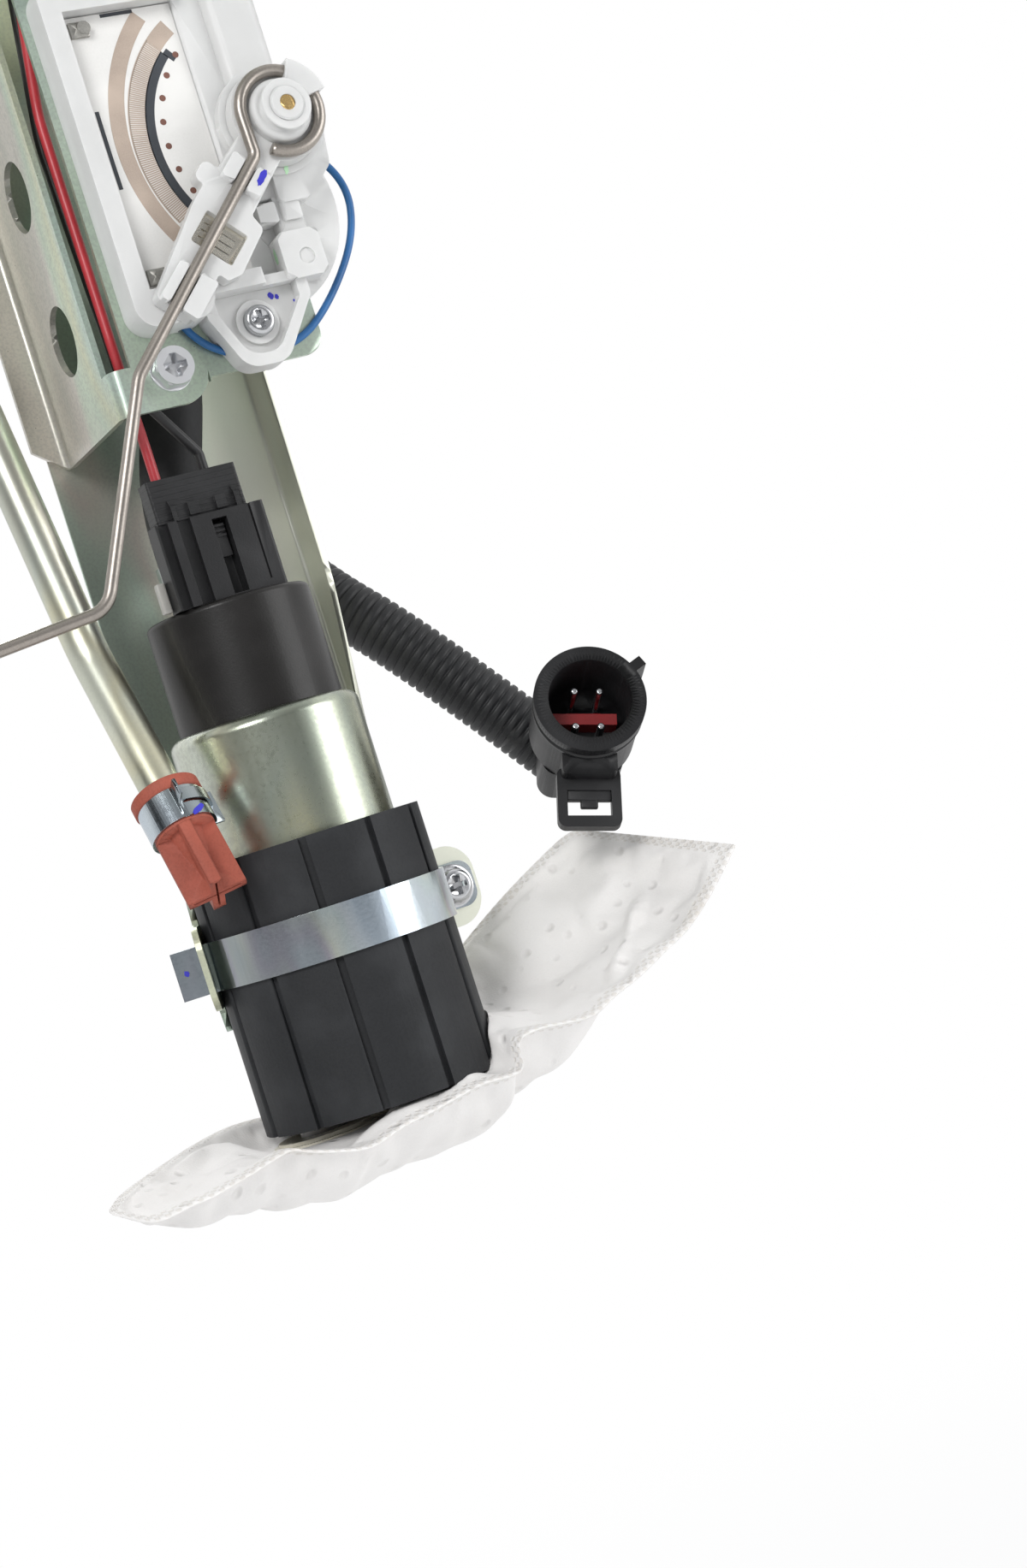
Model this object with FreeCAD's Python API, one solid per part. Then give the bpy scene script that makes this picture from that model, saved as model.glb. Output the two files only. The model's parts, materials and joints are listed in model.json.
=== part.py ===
import FreeCAD, Part
import math
import os

# Fuel pump module that hangs in a tank from a round flange.
# Millimetres. The origin is the centre of the flange's sealing face, +Z is up and -Y is the side
# with the level sender, so every height inside the tank is negative.

V = FreeCAD.Vector

# Flange
FLANGE_RADIUS = 59.0
FLANGE_THICKNESS = 2.0
FLANGE_BEAD_RADIUS = 46.5
FLANGE_BEAD_WIDTH = 5.0
FLANGE_BEAD_HEIGHT = 1.6
LOCATING_TAB_WIDTH = 12.0
LOCATING_TAB_REACH = 4.0
WELD_PAD_DEPTH = 1.0
WELD_PAD_MARGIN = 1.0
WELD_PAD_WALL = 1.4

# Sheet metal of the hanger
SHEET = 1.2
WEB_FRONT = 24.0
WEB_LEFT = -18.0
WEB_RIGHT = 28.6
SIDE_FLANGE_DEPTH = 11.0
SIDE_FLANGE_TAPER_TOP = -196.0
SIDE_FLANGE_BOTTOM = -238.0
TAB_GAP = 0.45

# Level sender bracket
BRACKET_FRONT = -17.0
BRACKET_LEFT = -14.6
BRACKET_RIGHT = 29.3
BRACKET_TOP = -62.0
BRACKET_BOTTOM = -160.5
PLATE_BOTTOM = -156.5
REAR_LIP = 6.4
BEND_RADIUS = 1.5
WIRE_SLOT_WIDTH = 4.6
WIRE_SLOT_BOTTOM = -151.5
WIRE_SLOT_TOP = -68.0
HOLE_RADIUS = 6.9
HOLE_PITCH = 29.2
HOLE_LOWEST = -139.8
HOLE_COUNT = 3
HOLE_DEPTH = 2.2

# Fuel pump
CAN_RADIUS = 19.0
CAN_WALL = 0.9
CAN_TOP = -220.0
CAN_BOTTOM = -296.0
CRIMP_RADIUS = 3.0
CAP_RADIUS = 16.4
CAP_TOP = -197.5
CAP_HOLLOW_RADIUS = 14.0
CAP_ROOF = 5.5
CAP_FLANGE_HEIGHT = 5.0
NOZZLE_X = -1.0
NOZZLE_Y = 10.0
NOZZLE_HEIGHT = 15.0
VALVE_BORE_RADIUS = 3.0
VALVE_SEAT_RADIUS = 1.6
VALVE_LENGTH = 4.0
VALVE_SEAT_GAP = 0.3
SLIDING_GAP = 0.06
RUNNING_GAP = 0.05
SHAFT_RADIUS = 2.0
CORE_RADIUS = 12.5
CORE_TOP = -228.0
CORE_BOTTOM = -262.0
CORE_SLOTS = 8
WINDING_HEIGHT = 4.5
COMMUTATOR_RADIUS = 6.5
COMMUTATOR_HEIGHT = 11.0
BRUSH_WIDTH = 4.0
BRUSH_HEIGHT = 6.0
MAGNET_INNER = 13.4
MAGNET_SPAN = 130.0
MAGNET_OVERHANG = 4.0
IMPELLER_RADIUS = 15.2
IMPELLER_THICKNESS = 3.4
IMPELLER_TOP = -283.0
IMPELLER_VANES = 24
IMPELLER_GAP = 0.4
BEARING_PLATE_THICKNESS = 8.0
INLET_X = -12.5
INLET_Y = 2.5
INLET_RADIUS = 4.8
INLET_WALL = 1.4
INLET_LENGTH = 9.5

# Rubber sleeve and its strap
SLEEVE_RADIUS = 23.75
SLEEVE_TOP = -245.0
SLEEVE_BOTTOM = -298.0
SLEEVE_GROOVES = 11
GROOVE_WIDTH = 1.5
GROOVE_DEPTH = 1.0
SEAT_GAP = 0.1
STRAP_HEIGHT = -263.5
STRAP_WIDTH = 9.5
STRAP_THICKNESS = 0.8
CRADLE_ANGLE = 20.0
CRADLE_GAP = 0.3
CRADLE_TOP = -250.0
CRADLE_BOTTOM = -277.0
EAR_HEIGHT = 16.6
EAR_REACH = 4.4
STRAP_SLOT_Y = 0.8
STRAP_TAIL = 7.5
STRAP_SCREW_X = 30.2
EAR_FRONT = 7.4

# Plug on the pump
PLUG_X = -1.2
PLUG_Y = -5.0
PLUG_LEFT = -13.3
PLUG_RIGHT = 9.0
PLUG_FRONT = -12.5
PLUG_STEP = -6.5
PLUG_BACK = 1.5
PLUG_INSET = 2.6
PLUG_TOP = -180.8
PLUG_CAP_TOP = -172.3
PLUG_CAP_INSET_LEFT = 1.0
PLUG_CAP_INSET_RIGHT = 2.8
PLUG_CAP_SETBACK = 1.2
PLUG_GROOVE_DEPTH = 1.6
PLUG_GROOVES = [(0.3, 2.4), (4.3, 7.0)]
PLUG_WINDOW = (11.1, 14.2)
PLUG_WINDOW_DEPTH = 3.4
PLUG_SEAM = 19.0
TERMINAL_SPACING = 10.0

# Tubes and hose
FEED_X = 7.5
FEED_RADIUS = 4.75
FEED_WALL = 0.9
FEED_BOTTOM = -140.0
RETURN_RADIUS = 4.0
RETURN_WALL = 0.8
STUB_HEIGHT = 20.0
STUB_REACH = 38.0
STUB_BEND = 12.0
STUB_BEAD = 1.5
STUB_BEAD_AT = 14.0
RETURN_X = -36.0
RETURN_Y = 12.0
RETURN_LEAN_TOP = V(-36.0, 12.0, -110.0)
RETURN_KNEE = V(-28.6, 3.0, -199.0)
RETURN_END = V(-27.35, -15.8, -236.5)
RETURN_BENDS = [12.0, 60.0, 25.0]
HOSE_WALL = 1.45
HOSE_TOP = -127.0
HOSE_UPPER_TURN = -149.0
HOSE_LOWER_TURN = -173.5
HOSE_BEND = 50.0
CLAMP_WIDTH = 7.0
CLAMP_THICKNESS = 0.7

# Return valve
DUCKBILL_SOCKET = 7.5
DUCKBILL_LENGTH = 23.0
DUCKBILL_WALL = 1.9
DUCKBILL_RIM = 0.9
DUCKBILL_RIM_HEIGHT = 2.2
DUCKBILL_FIN = 2.5
DUCKBILL_RECESS = 2.3
SLIT_WIDTH = 0.4
BAND_WIDTH = 6.6
BAND_THICKNESS = 0.6
BAND_TONGUE = 2.5
BAND_EAR = 3.4

# Strainer
SOCK_CLEARANCE = 0.4
SOCK_RING_RADIUS = 9.5
SOCK_RING_THICKNESS = 0.7
SOCK_RING_HEIGHT = -300.9
HUB_RADIUS = 10.5
HUB_HEIGHT = 3.2

# Level sender
PIVOT_X = 29.5
PIVOT_Z = -112.8
SENDER_BASE = 2.0
SENDER_RIM = 7.8
CARD_FLOOR = 3.2
CARD_THICKNESS = 1.0
CARD_LEFT = -3.6
CARD_WIDTH = 21.6
CARD_HEIGHT = 53.6
CARD_GAP = 0.2
CARD_SLOT = 0.9
TRAY_LEFT = -8.5
TRAY_HALF_HEIGHT = 34.2
TRAY_WALL_LOW = 30.2
REAR_DISC_X = 20.0
REAR_DISC_DROP = 15.7
REAR_DISC_RADIUS = 19.8
LOBE_LEFT = 5.6
LOBE_RIGHT = 27.4
LOBE_SHOULDER = 33.4
LOBE_RIM = 5.5
LOBE_FLOOR = 2.6
LOBE_WALL = 2.3
HOUSING_RIGHT = 34.2
HOUSING_BULGE = 23.5
HOUSING_SHELF = 5.2
HOUSING_FRONT = 7.6
SENDER_HALF_HEIGHT = 45.0
SENDER_SCREW_X = 16.0
SENDER_SCREW_REACH = 36.2
SENDER_SCREW_BOSS = 3.4
BOSS_RADIUS = 4.3
PIVOT_BOSS_RADIUS = 10.6
PIN_RADIUS = 1.1
PIN_HEAD_RADIUS = 1.5
PIN_HEAD = 0.5
PIN_HEAD_GAP = 0.3
CARRIER_GAP = 0.3
CARRIER_THICKNESS = 3.5
CARRIER_HUB_RADIUS = 9.3
CARRIER_LEFT = 3.9
CARRIER_RIGHT = 4.4
CARRIER_LENGTH = 45.5
CARRIER_LUG = (16.6, 20.9, 7.9)
CARRIER_BLOCK = (22.0, 34.8, 8.6)
CARRIER_WINDOW = (25.0, 32.0, 2.8, 6.2)
CARRIER_CHEEK = 1.6
WIRE_DRIFT = 0.5
HUB_BOSS_RADIUS = 6.1
HUB_BOSS_HEIGHT = 2.6
HUB_STEP_RADIUS = 4.7
HUB_CONE_HEIGHT = 2.2
HUB_TIP_RADIUS = 2.2
HUB_LUG_START = 14.0
HUB_LUG_SWEEP = 54.0
HUB_LUG_WALL = 0.7
CONTACT_GAP = 0.3
WIRE_RADIUS = 1.19
LOOP_RADIUS = 7.9
ARM_ANGLE = 44.4
ARM_KNEE = V(-13.6, 0.0, -156.2)
ARM_ELBOW = V(-32.5, 0.0, -195.8)
ARM_END = V(-92.0, 0.0, -202.0)
FLOAT_LENGTH = 44.0
FLOAT_WIDTH = 21.0
FLOAT_HEIGHT = 18.0
FLOAT_GAP = 0.4
FLOAT_BEND = 4.0
FLOAT_CLIP_THICKNESS = 0.7
FLOAT_CLIP_RADIUS = 3.6

# Wires and harness
LEAD_RADIUS = 1.0
SIGNAL_RADIUS = 0.75
CONDUIT_RADIUS = 6.0
GLAND_X = 22.0
GLAND_Y = 4.0
GLAND_RADIUS = 9.0
GLAND_NECK = 7.4
GLAND_BELOW = 4.0
CONDUIT_HEIGHT = 13.0
GLAND_REACH = 12.0
TAIL_RADIUS = 4.6

# Connector on the harness
MOUTH = V(64.5, -10.0, -235.8)
MOUTH_AXIS = V(-0.226, -0.915, 0.328)
LATCH_DIRECTION = V(-0.386, -0.224, -0.895)
SHELL_RADIUS = 11.0
SHELL_WALL = 2.5
SHELL_DEPTH = 15.0
SHELL_FLOOR = 3.0
SHELL_REAR = 13.0
REAR_WIDTH = 17.0
REAR_HEIGHT = 14.0
PIN_SPACING_X = 5.2
PIN_SPACING_Y = 7.8
CONTACT_PIN_RADIUS = 0.8
CONTACT_PIN_LENGTH = 10.0
LATCH_WIDTH = 13.0
LATCH_DROP = 19.5
LATCH_BAR = 2.0

# Places that several pieces share
WEB_BACK = WEB_FRONT + SHEET
SENDER_FACE = BRACKET_FRONT - SENDER_BASE
RIM_FRONT = BRACKET_FRONT - SENDER_RIM
CARD_FACE = BRACKET_FRONT - CARD_FLOOR - CARD_THICKNESS
CARRIER_BACK = RIM_FRONT - CARRIER_GAP
CARRIER_FRONT = CARRIER_BACK - CARRIER_THICKNESS
WIRE_Y = CARRIER_FRONT - WIRE_RADIUS
HUB_TIP = CARRIER_FRONT - HUB_BOSS_HEIGHT - HUB_CONE_HEIGHT
HOSE_RADIUS = FEED_RADIUS + HOSE_WALL
HOSE_BOTTOM = CAP_TOP + 1.5
STRAP_INNER = SLEEVE_RADIUS + SEAT_GAP
CRADLE_INNER = SLEEVE_RADIUS + CRADLE_GAP
DOWN = V(0, 0, -1)
UP = V(0, 0, 1)
FRONT = V(0, -1, 0)


# Plain solids

def block(x0, x1, y0, y1, z0, z1):
    return Part.makeBox(x1 - x0, y1 - y0, z1 - z0, V(x0, y0, z0))


def rod(radius, base, length, axis=UP):
    return Part.makeCylinder(radius, length, base, axis)


def pipe(outer, inner, base, length, axis=UP):
    return rod(outer, base, length, axis).cut(rod(inner, base, length, axis))


def cone(first, second, base, length, axis=UP):
    return Part.makeCone(first, second, length, base, axis)


def joined(shapes):
    whole = shapes[0].multiFuse(shapes[1:])
    return whole.removeSplitter()


# Closed outline whose corners are (a, b, radius); place turns a flat point into space.

def outline(corners, place):
    points = [V(a, b, 0) for a, b, _ in corners]
    count = len(points)
    ends = []
    for i, (_, _, radius) in enumerate(corners):
        here = points[i]
        if radius == 0:
            ends.append((here, here, here))
            continue
        back = (points[i - 1] - here).normalize()
        ahead = (points[(i + 1) % count] - here).normalize()
        half = back.getAngle(ahead) / 2
        reach = radius / math.tan(half)
        centre = here + (back + ahead).normalize() * (radius / math.sin(half))
        middle = centre + (here - centre).normalize() * radius
        ends.append((here + back * reach, middle, here + ahead * reach))
    edges = []
    for i, (start, middle, stop) in enumerate(ends):
        if (stop - start).Length > 1e-6:
            edges.append(Part.Arc(place(start), place(middle), place(stop)).toShape())
        following = ends[(i + 1) % count][0]
        if (following - stop).Length > 1e-6:
            edges.append(Part.LineSegment(place(stop), place(following)).toShape())
    return Part.Wire(edges)


def front_plate(corners, y0, y1):
    face = Part.Face(outline(corners, lambda p: V(p.x, y0, p.y)))
    return face.extrude(V(0, y1 - y0, 0))


def level_plate(corners, z0, z1):
    face = Part.Face(outline(corners, lambda p: V(p.x, p.y, z0)))
    return face.extrude(V(0, 0, z1 - z0))


def side_plate(corners, x0, x1):
    face = Part.Face(outline(corners, lambda p: V(x0, p.x, p.y)))
    return face.extrude(V(x1 - x0, 0, 0))


def turned(corners, x=0.0, y=0.0):
    face = Part.Face(outline(corners, lambda p: V(x + p.x, y, p.y)))
    return face.revolve(V(x, y, 0), UP, 360)


def rectangle(a0, a1, b0, b1, radius=0.0):
    return [(a0, b0, radius), (a1, b0, radius), (a1, b1, radius), (a0, b1, radius)]


# Round bar along straight runs joined by tangent arcs

def bent_rod(points, bends, radius):
    pieces = []
    at = points[0]
    for i, bend in enumerate(bends):
        here = points[i + 1]
        back = (points[i] - here).normalize()
        ahead = (points[i + 2] - here).normalize()
        half = back.getAngle(ahead) / 2
        reach = bend / math.tan(half)
        start = here + back * reach
        stop = here + ahead * reach
        centre = here + (back + ahead).normalize() * (bend / math.sin(half))
        pieces.append(rod(radius, at, (start - at).Length, start - at))
        section = Part.Face(Part.Wire([Part.Circle(start, back, radius).toShape()]))
        axis = (start - centre).cross(stop - centre)
        pieces.append(section.revolve(centre, axis, 180 - math.degrees(2 * half)))
        at = stop
    pieces.append(rod(radius, at, (points[-1] - at).Length, points[-1] - at))
    return joined(pieces)


def bent_pipe(points, bends, outer, inner):
    return bent_rod(points, bends, outer).cut(bent_rod(points, bends, inner))


def turned_to(shape, direction, place):
    shape.Placement = FreeCAD.Placement(place, FreeCAD.Rotation(UP, direction)).multiply(shape.Placement)
    return shape


def cross_recess(size, depth, base):
    arm = size * 0.28
    slots = [
        block(base.x - size, base.x + size, base.y, base.y + depth, base.z - arm, base.z + arm),
        block(base.x - arm, base.x + arm, base.y, base.y + depth, base.z - size, base.z + size),
    ]
    return joined(slots)


def facing_screw(x, z, seat, head_radius, head_height, shank_radius, shank_length):
    head = rod(head_radius, V(x, seat, z), head_height, FRONT)
    head = head.makeFillet(head_height * 0.45, [head.Edges[0]])
    shank = rod(shank_radius, V(x, seat - head_height * 0.5, z), head_height * 0.5 + shank_length, V(0, 1, 0))
    screw = joined([head, shank])
    return screw.cut(cross_recess(head_radius * 0.58, head_height * 0.6, V(x, seat - head_height, z)))


# Flange and tubes

def flange_plate():
    near = FLANGE_BEAD_RADIUS - FLANGE_BEAD_WIDTH / 2
    far = FLANGE_BEAD_RADIUS + FLANGE_BEAD_WIDTH / 2
    inner = FLANGE_BEAD_RADIUS - FLANGE_BEAD_WIDTH / 4
    outer = FLANGE_BEAD_RADIUS + FLANGE_BEAD_WIDTH / 4
    top = FLANGE_THICKNESS
    raised = top + FLANGE_BEAD_HEIGHT
    disc = turned([
        (0, 0, 0), (near, 0, 0), (inner, FLANGE_BEAD_HEIGHT, 0), (outer, FLANGE_BEAD_HEIGHT, 0),
        (far, 0, 0), (FLANGE_RADIUS, 0, 0), (FLANGE_RADIUS, top, 0.6), (far, top, 0),
        (outer, raised, 0), (inner, raised, 0), (near, top, 0), (0, top, 0),
    ])
    half = LOCATING_TAB_WIDTH / 2
    tab = level_plate(rectangle(FLANGE_RADIUS - 3, FLANGE_RADIUS + LOCATING_TAB_REACH, -half, half, 1.0), 0, top)
    plate = joined([disc, tab, weld_pad(0, -WELD_PAD_DEPTH, 0)])
    plate = plate.cut(weld_pad(WELD_PAD_WALL, top - WELD_PAD_DEPTH, top + 1))
    for x, y, radius in [
        (FEED_X, NOZZLE_Y, FEED_RADIUS), (RETURN_X, RETURN_Y, RETURN_RADIUS), (GLAND_X, GLAND_Y, GLAND_NECK),
    ]:
        plate = plate.cut(rod(radius, V(x, y, -1), top + 2))
    return plate


def weld_pad(inset, low, high):
    """Pad pressed down where the hanger's top is welded on."""
    return level_plate(
        rectangle(
            WEB_LEFT - WELD_PAD_MARGIN + inset, WEB_RIGHT + WELD_PAD_MARGIN - inset,
            top_tab_front() - TAB_GAP / 2 + inset, WEB_BACK + WELD_PAD_MARGIN - inset, 1.0),
        low, high)


def top_tab_front():
    return NOZZLE_Y + FEED_RADIUS + TAB_GAP


def line_stub(x, y, radius):
    bead_y = y - STUB_REACH + STUB_BEAD_AT
    return pipe(radius + STUB_BEAD, radius - 0.2, V(x, bead_y, STUB_HEIGHT), STUB_BEAD, FRONT)


def feed_tube():
    route = [
        V(FEED_X, NOZZLE_Y, FEED_BOTTOM),
        V(FEED_X, NOZZLE_Y, STUB_HEIGHT),
        V(FEED_X, NOZZLE_Y - STUB_REACH, STUB_HEIGHT),
    ]
    tube = bent_pipe(route, [STUB_BEND], FEED_RADIUS, FEED_RADIUS - FEED_WALL)
    return joined([tube, line_stub(FEED_X, NOZZLE_Y, FEED_RADIUS)])


def return_tube():
    route = [
        V(RETURN_X, RETURN_Y - STUB_REACH, STUB_HEIGHT),
        V(RETURN_X, RETURN_Y, STUB_HEIGHT),
        RETURN_LEAN_TOP,
        RETURN_KNEE,
        RETURN_END,
    ]
    tube = bent_pipe(route, RETURN_BENDS, RETURN_RADIUS, RETURN_RADIUS - RETURN_WALL)
    return joined([tube, line_stub(RETURN_X, RETURN_Y, RETURN_RADIUS)])


def feed_hose():
    route = [
        V(NOZZLE_X, NOZZLE_Y, HOSE_BOTTOM), V(NOZZLE_X, NOZZLE_Y, HOSE_LOWER_TURN),
        V(FEED_X, NOZZLE_Y, HOSE_UPPER_TURN), V(FEED_X, NOZZLE_Y, HOSE_TOP),
    ]
    return bent_pipe(route, [HOSE_BEND, HOSE_BEND], HOSE_RADIUS, FEED_RADIUS)


def hose_clamp(x, height):
    outer = HOSE_RADIUS + CLAMP_THICKNESS
    band = pipe(outer, HOSE_RADIUS, V(x, NOZZLE_Y, height), CLAMP_WIDTH)
    ear = block(outer - 0.3, outer + 2.2, -2.4, 2.4, 0, CLAMP_WIDTH)
    gap = block(outer - 0.3, outer + 1.4, -1.6, 1.6, -1, CLAMP_WIDTH + 1)
    ear = ear.cut(gap)
    ear.translate(V(x, NOZZLE_Y, height))
    return joined([band, ear])


def hose_clamps():
    upper = hose_clamp(FEED_X, FEED_BOTTOM + 2.0)
    lower = hose_clamp(NOZZLE_X, HOSE_BOTTOM + 3.0)
    return Part.makeCompound([upper, lower])


# Hanger channel with the cradle for the pump

def cradle_wall(side):
    """Wall tangent to the sleeve on one side, from the web forward."""
    lean = math.radians(CRADLE_ANGLE)
    middle = CRADLE_INNER + SHEET / 2
    outward = V(side * math.cos(lean), math.sin(lean), 0)
    forward = V(side * math.sin(lean), -math.cos(lean), 0)
    web_middle = WEB_FRONT + SHEET / 2
    root = (middle * outward.y - web_middle) / -forward.y
    low = STRAP_HEIGHT - EAR_HEIGHT / 2
    high = STRAP_HEIGHT + EAR_HEIGHT / 2
    if side < 0:
        reach = (middle * outward.y - STRAP_SLOT_Y) / -forward.y + EAR_REACH
    else:
        reach = (middle * outward.y - EAR_FRONT - SHEET / 2) / -forward.y
    corners = [
        (root, CRADLE_BOTTOM, 0), (root + 11, CRADLE_BOTTOM, 3), (root + 15, low, 3), (reach, low, 5 if side < 0 else 0),
        (reach, high, 5 if side < 0 else 0), (root + 15, high, 3), (root + 11, CRADLE_TOP, 3), (root, CRADLE_TOP, 0),
    ]
    start = outward * (middle - SHEET / 2)
    face = Part.Face(outline(corners, lambda p: start + forward * p.x + V(0, 0, p.y)))
    return face.extrude(outward * SHEET)


def cradle_half_width():
    lean = math.radians(CRADLE_ANGLE)
    middle = CRADLE_INNER + SHEET / 2
    return (middle - (WEB_FRONT + SHEET / 2) * math.sin(lean)) / math.cos(lean)


def strap_slot_frame():
    lean = math.radians(CRADLE_ANGLE)
    outward = V(-math.cos(lean), math.sin(lean), 0)
    along = V(-math.sin(lean), -math.cos(lean), 0)
    middle = STRAP_INNER + STRAP_THICKNESS / 2
    start = V(-middle, STRAP_SLOT_Y, 0)
    return start, outward, along


def slab_along(start, direction, across, length, thickness, z0, z1):
    half = across * (thickness / 2)
    corners = [start - half, start + direction * length - half, start + direction * length + half, start + half]
    wire = Part.makePolygon([V(c.x, c.y, z0) for c in corners + corners[:1]])
    return Part.Face(wire).extrude(V(0, 0, z1 - z0))


def main_channel():
    half = cradle_half_width() + SHEET * 0.5
    top = -WELD_PAD_DEPTH
    web = front_plate([
        (WEB_LEFT, top, 0), (WEB_RIGHT, top, 0), (WEB_RIGHT, SIDE_FLANGE_BOTTOM + 4, 6), (half, CRADLE_TOP + 2, 3),
        (half, CRADLE_BOTTOM, 3), (-half, CRADLE_BOTTOM, 3), (-half, CRADLE_TOP + 6, 3), (WEB_LEFT, CRADLE_TOP + 12, 3),
    ], WEB_FRONT, WEB_BACK)
    edge = WEB_BACK - SIDE_FLANGE_DEPTH - SHEET
    flange = side_plate([
        (WEB_BACK, top, 0), (top_tab_front(), top, 0), (top_tab_front(), top - 2, 0), (edge, top - 8, 6),
        (edge, SIDE_FLANGE_TAPER_TOP, 30), (WEB_FRONT - 4, SIDE_FLANGE_BOTTOM + 10, 4), (WEB_BACK, SIDE_FLANGE_BOTTOM, 0),
    ], WEB_RIGHT - SHEET, WEB_RIGHT)
    tab = block(WEB_LEFT, WEB_RIGHT, top_tab_front(), WEB_BACK, top - SHEET, top)
    ear = front_plate([
        (CRADLE_INNER - 1.2, STRAP_HEIGHT - EAR_HEIGHT / 2, 0), (STRAP_SCREW_X + 6, STRAP_HEIGHT - EAR_HEIGHT / 2, 6),
        (STRAP_SCREW_X + 6, STRAP_HEIGHT + EAR_HEIGHT / 2, 6), (CRADLE_INNER - 1.2, STRAP_HEIGHT + EAR_HEIGHT / 2, 0),
    ], EAR_FRONT, EAR_FRONT + SHEET)
    channel = joined([web, flange, tab, cradle_wall(-1), cradle_wall(1), ear])
    start, outward, along = strap_slot_frame()
    slot_half = STRAP_WIDTH / 2 + 0.4
    slot = slab_along(start, outward, along, 6, STRAP_THICKNESS + 0.6, STRAP_HEIGHT - slot_half, STRAP_HEIGHT + slot_half)
    channel = channel.cut(slot)
    channel = channel.cut(rod(2.1, V(STRAP_SCREW_X, EAR_FRONT - 1, STRAP_HEIGHT), 4, V(0, 1, 0)))
    return channel.cut(rod(SLEEVE_RADIUS + SEAT_GAP, V(0, 0, CRADLE_BOTTOM - 1), EAR_HEIGHT * 2))


# Bracket that carries the level sender

def sender_bracket():
    inner = BRACKET_LEFT + SHEET
    plate_back = BRACKET_FRONT + SHEET
    bent = BEND_RADIUS + SHEET
    lip_front = WEB_FRONT - SHEET
    section = level_plate([
        (BRACKET_RIGHT, BRACKET_FRONT, 0), (BRACKET_LEFT, BRACKET_FRONT, bent), (BRACKET_LEFT, lip_front, BEND_RADIUS),
        (BRACKET_LEFT - REAR_LIP, lip_front, 0), (BRACKET_LEFT - REAR_LIP, WEB_FRONT, 0), (inner, WEB_FRONT, bent),
        (inner, plate_back, BEND_RADIUS), (BRACKET_RIGHT, plate_back, 0),
    ], BRACKET_BOTTOM, BRACKET_TOP)
    lobe_right = SEMS_X + SEMS_LOBE
    shape = front_plate([
        (BRACKET_LEFT - REAR_LIP, BRACKET_BOTTOM + 5, 0), (BRACKET_LEFT, BRACKET_BOTTOM, 0),
        (lobe_right, BRACKET_BOTTOM, 6), (lobe_right, PLATE_BOTTOM, 0.8), (BRACKET_RIGHT, PLATE_BOTTOM, 4),
        (BRACKET_RIGHT, BRACKET_TOP, 4), (BRACKET_LEFT - REAR_LIP, BRACKET_TOP, 3),
    ], BRACKET_FRONT - 1, WEB_FRONT + 1)
    bracket = section.common(shape)
    slot = block(
        BRACKET_LEFT - 1, BRACKET_LEFT + WIRE_SLOT_WIDTH, BRACKET_FRONT - 1, BRACKET_FRONT + WIRE_SLOT_WIDTH,
        WIRE_SLOT_BOTTOM, WIRE_SLOT_TOP,
    )
    bracket = bracket.cut(slot)
    for i in range(HOLE_COUNT):
        base = V(BRACKET_LEFT - 1, HOLE_DEPTH, HOLE_LOWEST + i * HOLE_PITCH)
        bracket = bracket.cut(rod(HOLE_RADIUS, base, SHEET + 2, V(1, 0, 0)))
    for x, z, radius in screw_holes():
        bracket = bracket.cut(rod(radius, V(x, BRACKET_FRONT - 1, z), SHEET + 2, V(0, 1, 0)))
    return bracket


SEMS_X = -2.8
SEMS_Z = -153.7
SEMS_LOBE = 7.4
SEMS_SHANK = 1.9
SENDER_SHANK = 1.4


def screw_holes():
    return [
        (SEMS_X, SEMS_Z, SEMS_SHANK),
        (SENDER_SCREW_X, PIVOT_Z - SENDER_SCREW_REACH, SENDER_SHANK),
        (SENDER_SCREW_X, PIVOT_Z + SENDER_SCREW_REACH, SENDER_SHANK),
    ]


def hexagon(across, place):
    radius = across / math.sqrt(3)
    points = [place(radius * math.cos(math.radians(60 * i)), radius * math.sin(math.radians(60 * i))) for i in range(7)]
    return Part.Face(Part.makePolygon(points))


def bracket_screw():
    seat = BRACKET_FRONT
    washer = rod(4.2, V(SEMS_X, seat, SEMS_Z), 0.9, FRONT)
    hexes = hexagon(7.0, lambda a, b: V(SEMS_X + a, seat - 0.9, SEMS_Z + b)).extrude(V(0, -2.4, 0))
    crown = rod(3.7, V(SEMS_X, seat - 3.3, SEMS_Z), 0.8, FRONT)
    shank = rod(SEMS_SHANK, V(SEMS_X, seat - 1, SEMS_Z), 9.0, V(0, 1, 0))
    screw = joined([washer, hexes, crown, shank])
    return screw.cut(cross_recess(2.3, 2.0, V(SEMS_X, seat - 4.1, SEMS_Z)))


def clinch_nut():
    seat = BRACKET_FRONT + SHEET
    body = hexagon(6.6, lambda a, b: V(SEMS_X + a, seat, SEMS_Z + b)).extrude(V(0, 3.2, 0))
    return body.cut(rod(SEMS_SHANK, V(SEMS_X, seat - 1, SEMS_Z), 6, V(0, 1, 0)))


# Pump

def pump_can():
    inner = CAN_RADIUS - CAN_WALL
    lip = CAP_RADIUS + SEAT_GAP
    return turned([
        (CAN_RADIUS, CAN_BOTTOM, 0), (CAN_RADIUS, CAN_TOP, CRIMP_RADIUS - 0.6), (lip, CAN_TOP, 0),
        (lip, CAN_TOP - CAN_WALL, 0), (inner, CAN_TOP - CAN_WALL, 1.4), (inner, CAN_BOTTOM, 0),
    ])


def cap_seat():
    return CAN_TOP - CAN_WALL


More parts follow.
